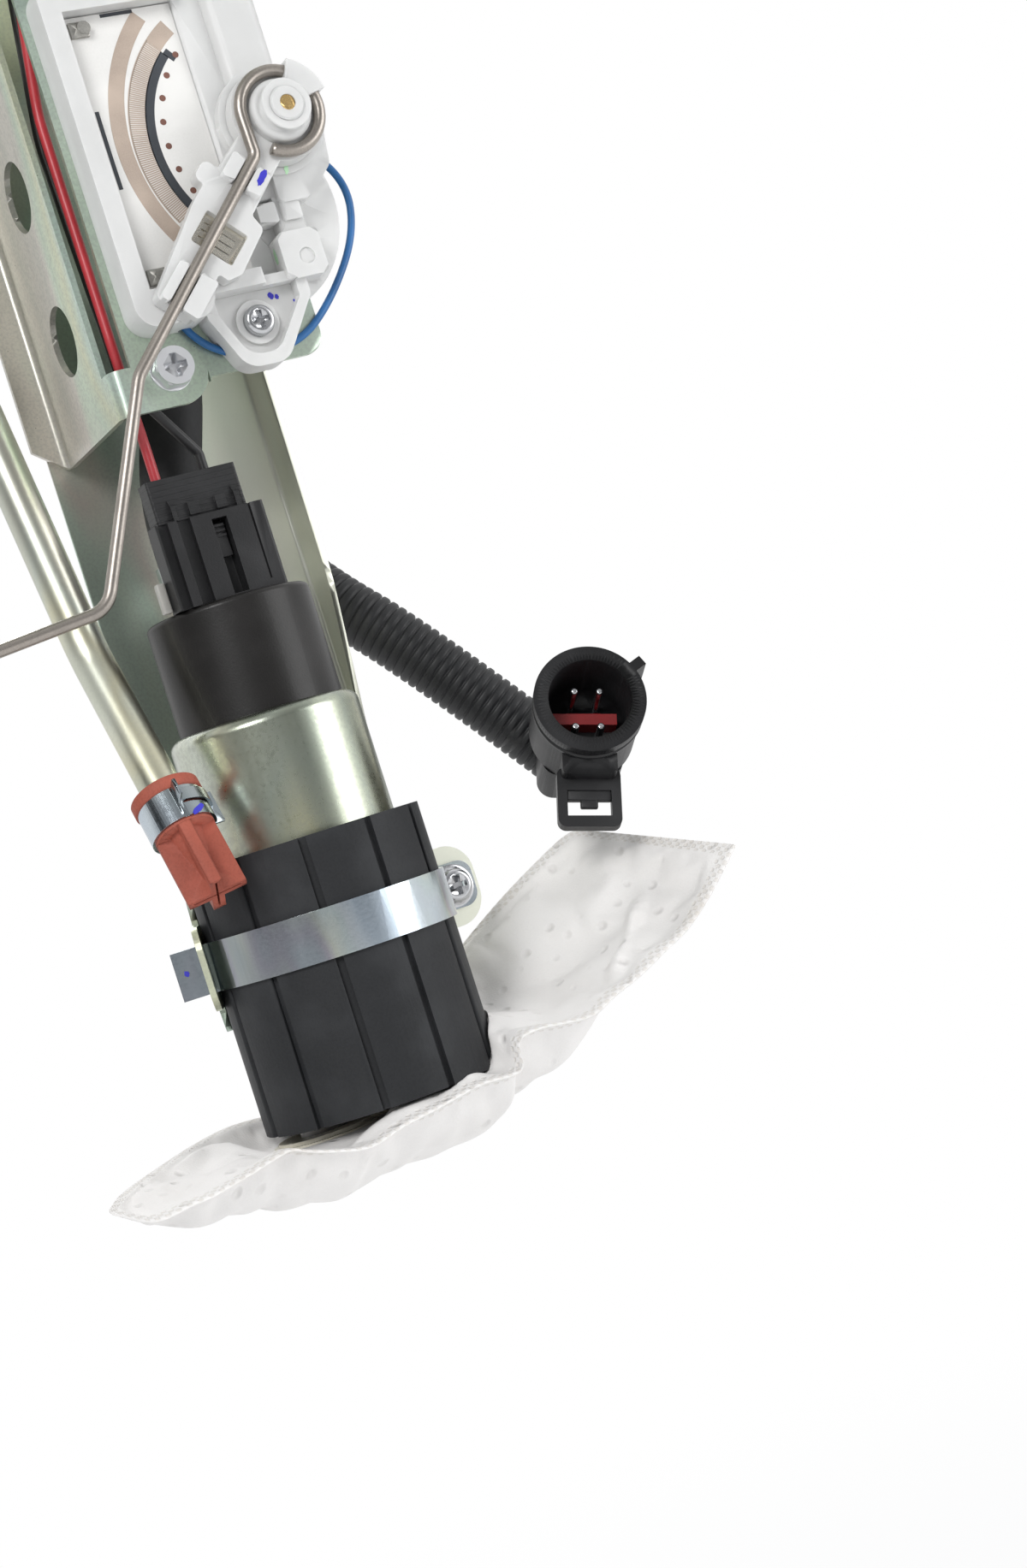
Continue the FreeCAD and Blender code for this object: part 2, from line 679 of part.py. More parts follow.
def pump_end_cap():
    shoulder = CAN_RADIUS - CAN_WALL - SEAT_GAP
    low = cap_seat() - CAP_FLANGE_HEIGHT
    roof = CAP_TOP - CAP_ROOF
    cap = turned([
        (CAP_HOLLOW_RADIUS, low, 0), (shoulder, low, 0), (shoulder, cap_seat() - 0.1, 1.4),
        (CAP_RADIUS, cap_seat() - 0.1, 0), (CAP_RADIUS, CAP_TOP, 1.2), (0, CAP_TOP, 0), (0, roof, 0),
        (CAP_HOLLOW_RADIUS, roof, 0),
    ])
    nozzle = rod(FEED_RADIUS, V(NOZZLE_X, NOZZLE_Y, CAP_TOP - 0.5), NOZZLE_HEIGHT + 0.5)
    bearing = rod(4.5, V(0, 0, roof - 4), 4.5)
    cap = joined([cap, nozzle, bearing])
    cap = cap.cut(rod(VALVE_BORE_RADIUS, V(NOZZLE_X, NOZZLE_Y, CAP_TOP + 1.5), NOZZLE_HEIGHT))
    cap = cap.cut(rod(VALVE_SEAT_RADIUS, V(NOZZLE_X, NOZZLE_Y, roof - 1), CAP_ROOF + 4))
    cap = cap.cut(rod(SHAFT_RADIUS + RUNNING_GAP, V(0, 0, roof - 5), 7.5))
    for side in (-1, 1):
        cap = cap.cut(terminal_blade(side, 0))
    return cap


def terminal_blade(side, extra):
    x = PLUG_X + side * TERMINAL_SPACING / 2
    return block(x - 1.6, x + 1.6, PLUG_Y - 0.4, PLUG_Y + 0.4, CAP_TOP - 3, CAP_TOP + 9 + extra)


def pump_terminals():
    return Part.makeCompound([terminal_blade(-1, 0), terminal_blade(1, 0)])


def check_valve():
    base = CAP_TOP + 1.5 + VALVE_SEAT_GAP
    stem = cone(VALVE_SEAT_RADIUS - 0.3, VALVE_BORE_RADIUS - SLIDING_GAP, V(NOZZLE_X, NOZZLE_Y, base), 1.2)
    body = rod(VALVE_BORE_RADIUS - SLIDING_GAP, V(NOZZLE_X, NOZZLE_Y, base + 1.2), VALVE_LENGTH - 1.2)
    return joined([stem, body])


def armature():
    core = rod(CORE_RADIUS, V(0, 0, CORE_BOTTOM), CORE_TOP - CORE_BOTTOM)
    for i in range(CORE_SLOTS):
        turn = 360.0 / CORE_SLOTS * i
        mouth = block(CORE_RADIUS - 2.4, CORE_RADIUS + 1, -0.7, 0.7, CORE_BOTTOM - 1, CORE_TOP + 1)
        mouth.rotate(V(0, 0, 0), UP, turn)
        core = core.cut(mouth)
    return core.cut(rod(SHAFT_RADIUS, V(0, 0, CORE_BOTTOM - 1), CORE_TOP - CORE_BOTTOM + 2))


def windings():
    upper = turned(rectangle(SHAFT_RADIUS + 2.2, CORE_RADIUS - 1.2, CORE_TOP, CORE_TOP + WINDING_HEIGHT, 1.4))
    lower = turned(rectangle(SHAFT_RADIUS + 2.2, CORE_RADIUS - 1.2, CORE_BOTTOM - WINDING_HEIGHT, CORE_BOTTOM, 1.4))
    return Part.makeCompound([upper, lower])


def commutator_bottom():
    return CORE_TOP + WINDING_HEIGHT + 0.4


def commutator():
    return pipe(COMMUTATOR_RADIUS, SHAFT_RADIUS, V(0, 0, commutator_bottom()), COMMUTATOR_HEIGHT)


def motor_shaft():
    low = IMPELLER_TOP - IMPELLER_THICKNESS - 2.0
    return rod(SHAFT_RADIUS, V(0, 0, low), CAP_TOP - CAP_ROOF + 2.0 - low)


def carbon_brushes():
    low = commutator_bottom() + COMMUTATOR_HEIGHT / 2 - BRUSH_HEIGHT / 2
    reach = math.sqrt(CAP_HOLLOW_RADIUS ** 2 - (BRUSH_WIDTH / 2) ** 2)
    right = block(COMMUTATOR_RADIUS + 0.3, reach, -BRUSH_WIDTH / 2, BRUSH_WIDTH / 2, low, low + BRUSH_HEIGHT)
    left = right.copy()
    left.rotate(V(0, 0, 0), UP, 180)
    return Part.makeCompound([left, right])


def magnets():
    outer = CAN_RADIUS - CAN_WALL - SEAT_GAP / 2
    low = CORE_BOTTOM - MAGNET_OVERHANG
    high = CORE_TOP + MAGNET_OVERHANG / 2
    halves = []
    for middle in (0, 180):
        ring = turned(rectangle(MAGNET_INNER, outer, low, high))
        wedge = Part.makeCylinder(CAN_RADIUS + 5, high - low + 2, V(0, 0, low - 1), UP, MAGNET_SPAN)
        wedge.rotate(V(0, 0, 0), UP, middle - MAGNET_SPAN / 2)
        halves.append(ring.common(wedge))
    return Part.makeCompound(halves)


def impeller():
    low = IMPELLER_TOP - IMPELLER_THICKNESS
    wheel = pipe(IMPELLER_RADIUS, SHAFT_RADIUS, V(0, 0, low), IMPELLER_THICKNESS)
    for i in range(IMPELLER_VANES):
        notch = block(IMPELLER_RADIUS - 2.2, IMPELLER_RADIUS + 1, -0.6, 0.6, low - 1, IMPELLER_TOP + 1)
        notch.rotate(V(0, 0, 0), UP, 360.0 / IMPELLER_VANES * i)
        wheel = wheel.cut(notch)
    return wheel


def bearing_plate():
    low = IMPELLER_TOP + IMPELLER_GAP
    radius = CAN_RADIUS - CAN_WALL - SEAT_GAP / 2
    return pipe(radius, SHAFT_RADIUS + RUNNING_GAP, V(0, 0, low), BEARING_PLATE_THICKNESS)


def inlet_plate():
    top = IMPELLER_TOP + IMPELLER_GAP
    floor = IMPELLER_TOP - IMPELLER_THICKNESS - IMPELLER_GAP
    radius = CAN_RADIUS - CAN_WALL - SEAT_GAP / 2
    body = rod(radius, V(0, 0, CAN_BOTTOM), top - CAN_BOTTOM)
    nipple = rod(INLET_RADIUS, V(INLET_X, INLET_Y, CAN_BOTTOM - INLET_LENGTH), INLET_LENGTH + 0.5)
    body = joined([body, nipple])
    body = body.cut(rod(IMPELLER_RADIUS + IMPELLER_GAP, V(0, 0, floor), top - floor + 1))
    body = body.cut(rod(SHAFT_RADIUS + RUNNING_GAP, V(0, 0, floor - 3), 5))
    port = rod(INLET_RADIUS - INLET_WALL, V(INLET_X, INLET_Y, CAN_BOTTOM - INLET_LENGTH - 1), INLET_LENGTH + 12)
    return body.cut(port)


# Sleeve and strap

def rubber_sleeve():
    sleeve = pipe(SLEEVE_RADIUS, CAN_RADIUS + SEAT_GAP / 2, V(0, 0, SLEEVE_BOTTOM), SLEEVE_TOP - SLEEVE_BOTTOM)
    for i in range(SLEEVE_GROOVES):
        groove = block(
            SLEEVE_RADIUS - GROOVE_DEPTH, SLEEVE_RADIUS + 1, -GROOVE_WIDTH / 2, GROOVE_WIDTH / 2,
            SLEEVE_BOTTOM - 1, SLEEVE_TOP + 1,
        )
        groove.rotate(V(0, 0, 0), UP, 270 - CRADLE_ANGLE + 360.0 / SLEEVE_GROOVES * i)
        sleeve = sleeve.cut(groove)
    return sleeve


def strap():
    low = STRAP_HEIGHT - STRAP_WIDTH / 2
    high = STRAP_HEIGHT + STRAP_WIDTH / 2
    middle = STRAP_INNER + STRAP_THICKNESS / 2
    start, outward, along = strap_slot_frame()
    tab_middle = EAR_FRONT - 0.1 - STRAP_THICKNESS / 2
    right_angle = math.degrees(math.asin(tab_middle / middle))
    left_angle = 180 - math.degrees(math.asin(start.y / middle))
    sweep = 360 - left_angle + right_angle
    ring = turned(rectangle(STRAP_INNER, STRAP_INNER + STRAP_THICKNESS, low, high))
    wedge = Part.makeCylinder(SLEEVE_RADIUS * 2, STRAP_WIDTH + 2, V(0, 0, low - 1), UP, sweep)
    wedge.rotate(V(0, 0, 0), UP, left_angle)
    band = ring.common(wedge)
    tail = slab_along(start, outward, along, STRAP_TAIL, STRAP_THICKNESS, low, high)
    tab = front_plate([
        (middle * math.cos(math.radians(right_angle)) - 0.2, low, 0), (STRAP_SCREW_X + 5, low, 3),
        (STRAP_SCREW_X + 5, high, 3), (middle * math.cos(math.radians(right_angle)) - 0.2, high, 0),
    ], tab_middle - STRAP_THICKNESS / 2, tab_middle + STRAP_THICKNESS / 2)
    whole = joined([band, tail, tab])
    return whole.cut(rod(2.1, V(STRAP_SCREW_X, EAR_FRONT - 5, STRAP_HEIGHT), 8, V(0, 1, 0)))


def strap_screw():
    seat = EAR_FRONT - 0.1 - STRAP_THICKNESS
    washer = rod(4.4, V(STRAP_SCREW_X, seat, STRAP_HEIGHT), 0.8, FRONT)
    screw = facing_screw(STRAP_SCREW_X, STRAP_HEIGHT, seat - 0.8, 3.4, 2.3, 2.0, 9.0)
    return joined([washer, screw])


def strap_nut():
    seat = EAR_FRONT + SHEET
    body = hexagon(7.0, lambda a, b: V(STRAP_SCREW_X + a, seat, STRAP_HEIGHT + b)).extrude(V(0, 3.0, 0))
    return body.cut(rod(2.0, V(STRAP_SCREW_X, seat - 1, STRAP_HEIGHT), 6, V(0, 1, 0)))


# Plug on the pump's terminals

def plug_housing():
    """Latch shell in front, narrower body behind."""
    low = CAP_TOP
    shell = level_plate(rectangle(PLUG_LEFT, PLUG_RIGHT, PLUG_FRONT, PLUG_STEP, 0.7), low, PLUG_TOP)
    body = level_plate(
        rectangle(PLUG_LEFT + PLUG_INSET, PLUG_RIGHT - PLUG_INSET / 2, PLUG_STEP - 1, PLUG_BACK, 1.0), low, PLUG_TOP)
    housing = joined([shell, body])
    for near, far in PLUG_GROOVES:
        groove = block(
            PLUG_LEFT + near, PLUG_LEFT + far, PLUG_FRONT - 1, PLUG_FRONT + PLUG_GROOVE_DEPTH, low - 1, PLUG_TOP + 1)
        housing = housing.cut(groove)
    near, far = PLUG_WINDOW
    window = block(
        PLUG_LEFT + near, PLUG_LEFT + far, PLUG_FRONT - 1, PLUG_FRONT + PLUG_WINDOW_DEPTH, low + 0.5, PLUG_TOP - 1.4)
    housing = housing.cut(window)
    seam = block(
        PLUG_LEFT + PLUG_SEAM, PLUG_LEFT + PLUG_SEAM + 0.5, PLUG_FRONT - 1, PLUG_FRONT + 0.7, low + 1.6, PLUG_TOP + 1)
    housing = housing.cut(seam)
    tongue_front = PLUG_FRONT + PLUG_GROOVE_DEPTH
    tongue = block(
        PLUG_LEFT + near, PLUG_LEFT + far - 0.4, tongue_front, PLUG_FRONT + PLUG_WINDOW_DEPTH + 0.1, low + 8.0, PLUG_TOP - 2.0)
    ribs = [
        block(PLUG_LEFT + near, PLUG_LEFT + far - 0.6, tongue_front - 0.5, tongue_front + 0.1, z, z + 0.5)
        for z in (PLUG_TOP - 2.9, PLUG_TOP - 3.9, PLUG_TOP - 4.9)
    ]
    housing = joined([housing, tongue] + ribs)
    for side in (-1, 1):
        housing = housing.cut(terminal_blade(side, 0))
    return housing


def plug_hook(x, width, height, reach):
    """Ramp that stands off the cap's front and grows downwards."""
    front = PLUG_FRONT + PLUG_CAP_SETBACK
    return side_plate(
        [(front + 0.2, PLUG_TOP, 0), (front - reach, PLUG_TOP, 0), (front - reach, PLUG_TOP + height * 0.55, 0),
         (front + 0.2, PLUG_TOP + height, 0)], x, x + width)


def plug_cap():
    left = PLUG_LEFT + PLUG_CAP_INSET_LEFT
    right = PLUG_RIGHT - PLUG_CAP_INSET_RIGHT
    front = PLUG_FRONT + PLUG_CAP_SETBACK
    cap = level_plate(rectangle(left, right, front, PLUG_STEP + 0.6, 0.6), PLUG_TOP, PLUG_CAP_TOP)
    rear = level_plate(
        rectangle(left + PLUG_INSET, right - 0.8, PLUG_STEP - 0.5, PLUG_BACK - 0.8, 0.8), PLUG_TOP, PLUG_CAP_TOP)
    hooks = [plug_hook(left + 3.0, 0.9, 4.8, 1.0), plug_hook(right - 2.4, 1.0, 4.8, 1.0)]
    squares = [
        block(x, x + 2.2, front - 0.7, front + 0.1, PLUG_TOP + 0.4, PLUG_TOP + 3.0) for x in (left + 6.6, left + 12.2)
    ]
    cap = joined([cap, rear] + hooks + squares)
    for x in (RED_IN.x, BLACK_IN.x):
        cap = cap.cut(rod(LEAD_RADIUS, V(x, PLUG_Y, PLUG_CAP_TOP - 4), 5))
    return cap


# Leads

RED_IN = V(PLUG_X - 6.6, PLUG_Y, PLUG_CAP_TOP - 4)
BLACK_IN = V(PLUG_X + 3.4, PLUG_Y, PLUG_CAP_TOP - 4)


def red_wire():
    route = [
        V(GLAND_X - 3.2, GLAND_Y - 1.5, -GLAND_BELOW), V(GLAND_X - 4.0, GLAND_Y - 2.0, -22.0), V(-3.0, -6.0, -62.0),
        V(-10.2, -11.0, -100.0), V(-10.6, -12.2, -148.0), V(RED_IN.x, RED_IN.y, -164.0), RED_IN,
    ]
    return bent_rod(route, [12, 20, 30, 18, 8], LEAD_RADIUS)


def black_wire():
    route = [
        V(GLAND_X - 3.2, GLAND_Y + 2.5, -GLAND_BELOW), V(GLAND_X - 4.5, GLAND_Y + 2.0, -26.0), V(-4.0, -2.0, -68.0),
        V(-10.4, -7.6, -104.0), V(-9.4, -8.2, -152.0), V(BLACK_IN.x, BLACK_IN.y, -168.0), BLACK_IN,
    ]
    return bent_rod(route, [12, 20, 30, 7, 2], LEAD_RADIUS)


def blue_route():
    front = BRACKET_FRONT - SIGNAL_RADIUS - 0.15
    return [
        V(0.3, front, -141.5), V(2.4, front, -148.8), V(11.5, front, -154.0), V(24.0, front, -153.6),
        V(30.6, front, -147.8), V(43.4, BRACKET_FRONT + 1.8, -135.0), V(44.8, BRACKET_FRONT + 2.2, -124.0),
        V(38.0, BRACKET_FRONT + 3.4, -114.5), V(22.0, BRACKET_FRONT + 4.4, -108.0), V(-2.0, BRACKET_FRONT + 5.0, -106.0),
        V(6.0, -12.0, -72.0), V(BLUE_OUT.x, BLUE_OUT.y - 0.5, -24.0), BLUE_OUT,
    ]


BLUE_OUT = V(GLAND_X + 2.5, GLAND_Y - 4.0, -GLAND_BELOW)
BLUE_BENDS = [6, 8, 8, 9, 10, 8, 8, 12, 10, 14, 12]


def blue_wire():
    return bent_rod(blue_route(), BLUE_BENDS, SIGNAL_RADIUS)


def blue_channel():
    return bent_rod(blue_route()[:7], BLUE_BENDS[:5], SIGNAL_RADIUS + 0.2)


# Level sender

def mirror_height(z):
    return 2 * PIVOT_Z - z


def both_ends(make):
    """The same form below the pivot and mirrored above it."""
    shape = make()
    return [shape, shape.mirror(V(PIVOT_X, 0, PIVOT_Z), V(0, 0, 1))]


def lobe_corners(inset=0.0):
    """Outline of the lobe that carries a sender screw, down from the tray."""
    tip = PIVOT_Z - SENDER_HALF_HEIGHT + inset
    return [
        (LOBE_LEFT + inset, PIVOT_Z - TRAY_HALF_HEIGHT + 6, 0), (LOBE_LEFT + inset, PIVOT_Z - TRAY_HALF_HEIGHT, 1.2),
        (SENDER_SCREW_X - 5.4 + inset / 2, tip, 4.4), (SENDER_SCREW_X + 3.0 - inset / 2, tip, 4.4),
        (LOBE_RIGHT - inset, PIVOT_Z - LOBE_SHOULDER, 1.2), (LOBE_RIGHT - inset, PIVOT_Z - TRAY_HALF_HEIGHT + 6, 0),
    ]


def lobe():
    return front_plate(lobe_corners(), BRACKET_FRONT - LOBE_RIM, BRACKET_FRONT)


def lobe_hollow():
    hollow = front_plate(lobe_corners(LOBE_WALL), BRACKET_FRONT - LOBE_RIM - 4, BRACKET_FRONT - LOBE_FLOOR)
    keep = PIVOT_Z - TRAY_WALL_LOW
    lower = block(LOBE_LEFT, LOBE_RIGHT, BRACKET_FRONT - 12, BRACKET_FRONT, keep - 30, keep)
    hollow = hollow.common(lower)
    return hollow.cut(rod(BOSS_RADIUS, V(SENDER_SCREW_X, BRACKET_FRONT, PIVOT_Z - SENDER_SCREW_REACH), SENDER_SCREW_BOSS, FRONT))


def pivot_block():
    """Round boss under the wiper's hub with a cut corner below it."""
    boss = rod(PIVOT_BOSS_RADIUS, V(PIVOT_X, BRACKET_FRONT, PIVOT_Z), SENDER_RIM, FRONT)
    right = PIVOT_X + PIVOT_BOSS_RADIUS
    cheek = front_plate([
        (PIVOT_X - 3, PIVOT_Z - 15.6, 1), (PIVOT_X + 3.4, PIVOT_Z - 15.6, 2), (right - 1.2, PIVOT_Z - 10.0, 2.5),
        (right, PIVOT_Z, 0), (PIVOT_X - 3, PIVOT_Z, 0),
    ], BRACKET_FRONT - SENDER_RIM + 0.9, BRACKET_FRONT)
    return joined([boss, cheek])


def lower_blocks():
    """Stop block, the web that carries it and two small square posts."""
    back = BRACKET_FRONT
    stop = front_plate(rectangle(PIVOT_X - 6.0, PIVOT_X + 2.6, PIVOT_Z - 30.4, PIVOT_Z - 21.2, 1.4), back - SENDER_RIM + 0.9, back)
    stop = stop.cut(rod(1.6, V(PIVOT_X - 1.0, back - SENDER_RIM + 1.3, PIVOT_Z - 26.5), 2, FRONT))
    web = block(PIVOT_X - 4.0, PIVOT_X + 1.4, back - LOBE_RIM, back, PIVOT_Z - 22.0, PIVOT_Z - 14.0)
    posts = [
        front_plate(rectangle(x, x + 3.9, PIVOT_Z - 19.0, PIVOT_Z - 15.0, 0.5), back - SENDER_RIM + 1.4, back)
        for x in (PIVOT_X - 8.0, PIVOT_X - 3.0)
    ]
    return joined([stop, web] + posts)


def sender_housing():
    """Cover beside the card: a low shelf that rises to a rounded bulge."""
    shelf = front_plate(
        rectangle(card_right() + CARD_GAP, HOUSING_RIGHT, PIVOT_Z - 14.0, PIVOT_Z + TRAY_HALF_HEIGHT + 4, 3.0),
        BRACKET_FRONT - HOUSING_SHELF, BRACKET_FRONT)
    bulge = level_plate([
        (HOUSING_BULGE, BRACKET_FRONT - HOUSING_SHELF + 1, 0), (HOUSING_BULGE, BRACKET_FRONT - HOUSING_FRONT, 2.2),
        (HOUSING_RIGHT, BRACKET_FRONT - HOUSING_FRONT, 2.2), (HOUSING_RIGHT, BRACKET_FRONT - HOUSING_SHELF + 1, 0),
    ], PIVOT_Z + 3.0, PIVOT_Z + TRAY_HALF_HEIGHT)
    return joined([shelf, bulge])


def card_right():
    return CARD_LEFT + CARD_WIDTH


def sender_body():
    low = PIVOT_Z - TRAY_HALF_HEIGHT
    high = mirror_height(low)
    base = front_plate(rectangle(TRAY_LEFT, HOUSING_RIGHT, low + 4, high - 4, 3.0), SENDER_FACE, BRACKET_FRONT)
    disc = rod(REAR_DISC_RADIUS, V(REAR_DISC_X, BRACKET_FRONT, PIVOT_Z - REAR_DISC_DROP), SENDER_BASE, FRONT)
    tray = front_plate(rectangle(TRAY_LEFT, LOBE_LEFT + 2, low, high, 4.5), RIM_FRONT, BRACKET_FRONT)
    ends = [block(LOBE_LEFT, card_right() + CARD_GAP, RIM_FRONT, BRACKET_FRONT, PIVOT_Z - TRAY_WALL_LOW, PIVOT_Z + TRAY_WALL_LOW)]
    body = joined([base, disc, tray] + ends + both_ends(lobe) + [sender_housing(), pivot_block(), lower_blocks()])
    for hollow in both_ends(lobe_hollow):
        body = body.cut(hollow)
    card_low = PIVOT_Z - CARD_HEIGHT / 2
    pocket = block(
        CARD_LEFT - CARD_SLOT, card_right() + CARD_GAP, RIM_FRONT - 1, BRACKET_FRONT - CARD_FLOOR,
        card_low - CARD_GAP, card_low + CARD_HEIGHT + CARD_GAP,
    )
    body = body.cut(pocket)
    for side in (-1, 1):
        hole = V(SENDER_SCREW_X, BRACKET_FRONT + 1, PIVOT_Z + side * SENDER_SCREW_REACH)
        body = body.cut(rod(SENDER_SHANK, hole, 12, FRONT))
    body = body.cut(rod(PIN_RADIUS, V(PIVOT_X, BRACKET_FRONT + 1, PIVOT_Z), SENDER_RIM + 2, FRONT))
    return body.cut(blue_channel())


def resistor_card():
    low = PIVOT_Z - CARD_HEIGHT / 2
    return block(CARD_LEFT, CARD_LEFT + CARD_WIDTH, CARD_FACE, CARD_FACE + CARD_THICKNESS, low, low + CARD_HEIGHT)


def card_terminals():
    clips = []
    for side in (-1, 1):
        z = PIVOT_Z + side * (CARD_HEIGHT / 2 - 2.6)
        clip = block(CARD_LEFT + 0.6, CARD_LEFT + 4.2, CARD_FACE - 0.7, CARD_FACE, z - 1.5, z + 1.5)
        blob = rod(1.3, V(CARD_LEFT + 3.2, CARD_FACE - 0.5, z), 1.0, FRONT)
        clips.append(joined([clip, blob]))
    return Part.makeCompound(clips)


def sender_screws():
    seat = BRACKET_FRONT - SENDER_SCREW_BOSS
    return Part.makeCompound([
        facing_screw(SENDER_SCREW_X, PIVOT_Z + side * SENDER_SCREW_REACH, seat, 3.0, 2.0, SENDER_SHANK, 9.0)
        for side in (-1, 1)
    ])


def pivot_pin():
    shank = rod(PIN_RADIUS, V(PIVOT_X, BRACKET_FRONT - 0.5, PIVOT_Z), BRACKET_FRONT - 0.5 - HUB_TIP + PIN_HEAD_GAP, FRONT)
    head = rod(PIN_HEAD_RADIUS, V(PIVOT_X, HUB_TIP - PIN_HEAD_GAP, PIVOT_Z), PIN_HEAD, FRONT)
    return joined([shank, head])


# Wiper and float arm, at the empty stop

def arm_frame(s, t, y):
    """Point s along the arm from the pivot and t to its lower right."""
    angle = math.radians(ARM_ANGLE)
    return V(PIVOT_X - s * math.cos(angle) + t * math.sin(angle), y, PIVOT_Z - s * math.sin(angle) - t * math.cos(angle))


def arm_plate(corners, y0, y1):
    face = Part.Face(outline(corners, lambda p: arm_frame(p.x, p.y, y0)))
    return face.extrude(V(0, y1 - y0, 0))


def hub_lug():
    """Cap on the hub that holds the wire's loop down."""
    inner = HUB_BOSS_RADIUS - 0.4
    outer = LOOP_RADIUS + WIRE_RADIUS + HUB_LUG_WALL
    depth = CARRIER_FRONT - WIRE_Y + WIRE_RADIUS + HUB_LUG_WALL
    ring = pipe(outer, inner, V(PIVOT_X, CARRIER_FRONT + 0.2, PIVOT_Z), depth + 0.2, FRONT)
    wedge = Part.makeCylinder(outer + 5, depth + 4, V(0, 0, 0), UP, HUB_LUG_SWEEP)
    wedge.rotate(V(0, 0, 0), UP, HUB_LUG_START)
    wedge.rotate(V(0, 0, 0), V(1, 0, 0), 90)
    wedge.translate(V(PIVOT_X, CARRIER_FRONT + 2, PIVOT_Z))
    loop = Part.makeTorus(LOOP_RADIUS, WIRE_RADIUS + RUNNING_GAP, V(PIVOT_X, WIRE_Y, PIVOT_Z), V(0, 1, 0))
    return ring.common(wedge).cut(loop)


def wiper_hub():
    boss = rod(HUB_BOSS_RADIUS, V(PIVOT_X, CARRIER_FRONT, PIVOT_Z), HUB_BOSS_HEIGHT, FRONT)
    boss = boss.makeFillet(1.2, [boss.Edges[0]])
    step = cone(HUB_STEP_RADIUS, HUB_TIP_RADIUS, V(PIVOT_X, CARRIER_FRONT - HUB_BOSS_HEIGHT, PIVOT_Z), HUB_CONE_HEIGHT, FRONT)
    return joined([boss, step])


def carrier_outline():
    lug_near, lug_far, lug_reach = CARRIER_LUG
    block_near, block_far, block_reach = CARRIER_BLOCK
    return [
        (0, -CARRIER_LEFT, 0), (lug_near, -CARRIER_LEFT - 0.8, 0.6), (lug_near, -lug_reach, 1.4), (lug_far, -lug_reach, 1.4),
        (lug_far, -CARRIER_LEFT - 1.8, 0.6), (block_near + 3, -CARRIER_LEFT - 1.8, 4), (CARRIER_LENGTH, -CARRIER_LEFT + 0.6, 1.2),
        (CARRIER_LENGTH, CARRIER_RIGHT + 1.0, 1.2), (block_far, CARRIER_RIGHT + 0.4, 0.6), (block_far, block_reach - 1.6, 0.8),
        (block_far - 2.6, block_reach, 1.0), (block_near, block_reach - 0.5, 1.4), (block_near - 1.0, CARRIER_RIGHT + 0.6, 0.8),
        (0, CARRIER_RIGHT, 0),
    ]


def carrier_cheeks(near, far, left, right, drift):
    """Raised sides that hold the wire between them."""
    gap = WIRE_RADIUS + RUNNING_GAP * 3
    top = WIRE_Y - WIRE_RADIUS * 0.5
    return [
        arm_plate(rectangle(near, far, -left, drift - gap, 0.6), top, CARRIER_FRONT + 0.2),
        arm_plate(rectangle(near, far, drift + gap, right, 0.6), top, CARRIER_FRONT + 0.2),
    ]


def wiper_carrier():
    disc = rod(CARRIER_HUB_RADIUS, V(PIVOT_X, CARRIER_BACK, PIVOT_Z), CARRIER_THICKNESS, FRONT)
    arm = arm_plate(carrier_outline(), CARRIER_FRONT, CARRIER_BACK)
    near, far, left, right = CARRIER_WINDOW
    upper = carrier_cheeks(LOOP_RADIUS + WIRE_RADIUS + 3.4, near - 7.0, CARRIER_LEFT, CARRIER_RIGHT, 0.1)
    lower = carrier_cheeks(far + 5.0, CARRIER_LENGTH, WIRE_RADIUS + CARRIER_CHEEK, CARRIER_RIGHT + 1.0, WIRE_DRIFT)
    carrier = joined([disc, arm, wiper_hub(), hub_lug()] + upper + lower)
    window = arm_plate(rectangle(near, far, -left, right, 0.5), CARRIER_FRONT - 1, CARRIER_BACK + 1)
    carrier = carrier.cut(window)
    return carrier.cut(rod(PIN_RADIUS + RUNNING_GAP, V(PIVOT_X, CARRIER_BACK + 1, PIVOT_Z), 14, FRONT))


def wiper_contacts():
    """Spring plate across the carrier's window with four fingers bent down to the card."""
    near, far, left, right = CARRIER_WINDOW
    face = CARRIER_BACK - 1.6
    plate = arm_plate(rectangle(near, far, -left, right), face - 0.4, face)
    flange = arm_plate(rectangle(near, far - 1.0, right - 0.5, right), face - 1.2, face)
    fingers = []
    for s in (near + 0.7, near + 2.2, near + 3.7, near + 5.2):
        plate = plate.cut(arm_plate(rectangle(s + 0.95, s + 1.25, -left + 0.8, right - 1.4), face - 1, face + 1))
        tip = arm_plate(rectangle(s, s + 0.8, -left + 1.0, -left + 1.8), face - 0.2, CARD_FACE - CONTACT_GAP)
        fingers.append(tip)
    return joined([plate, flange] + fingers)


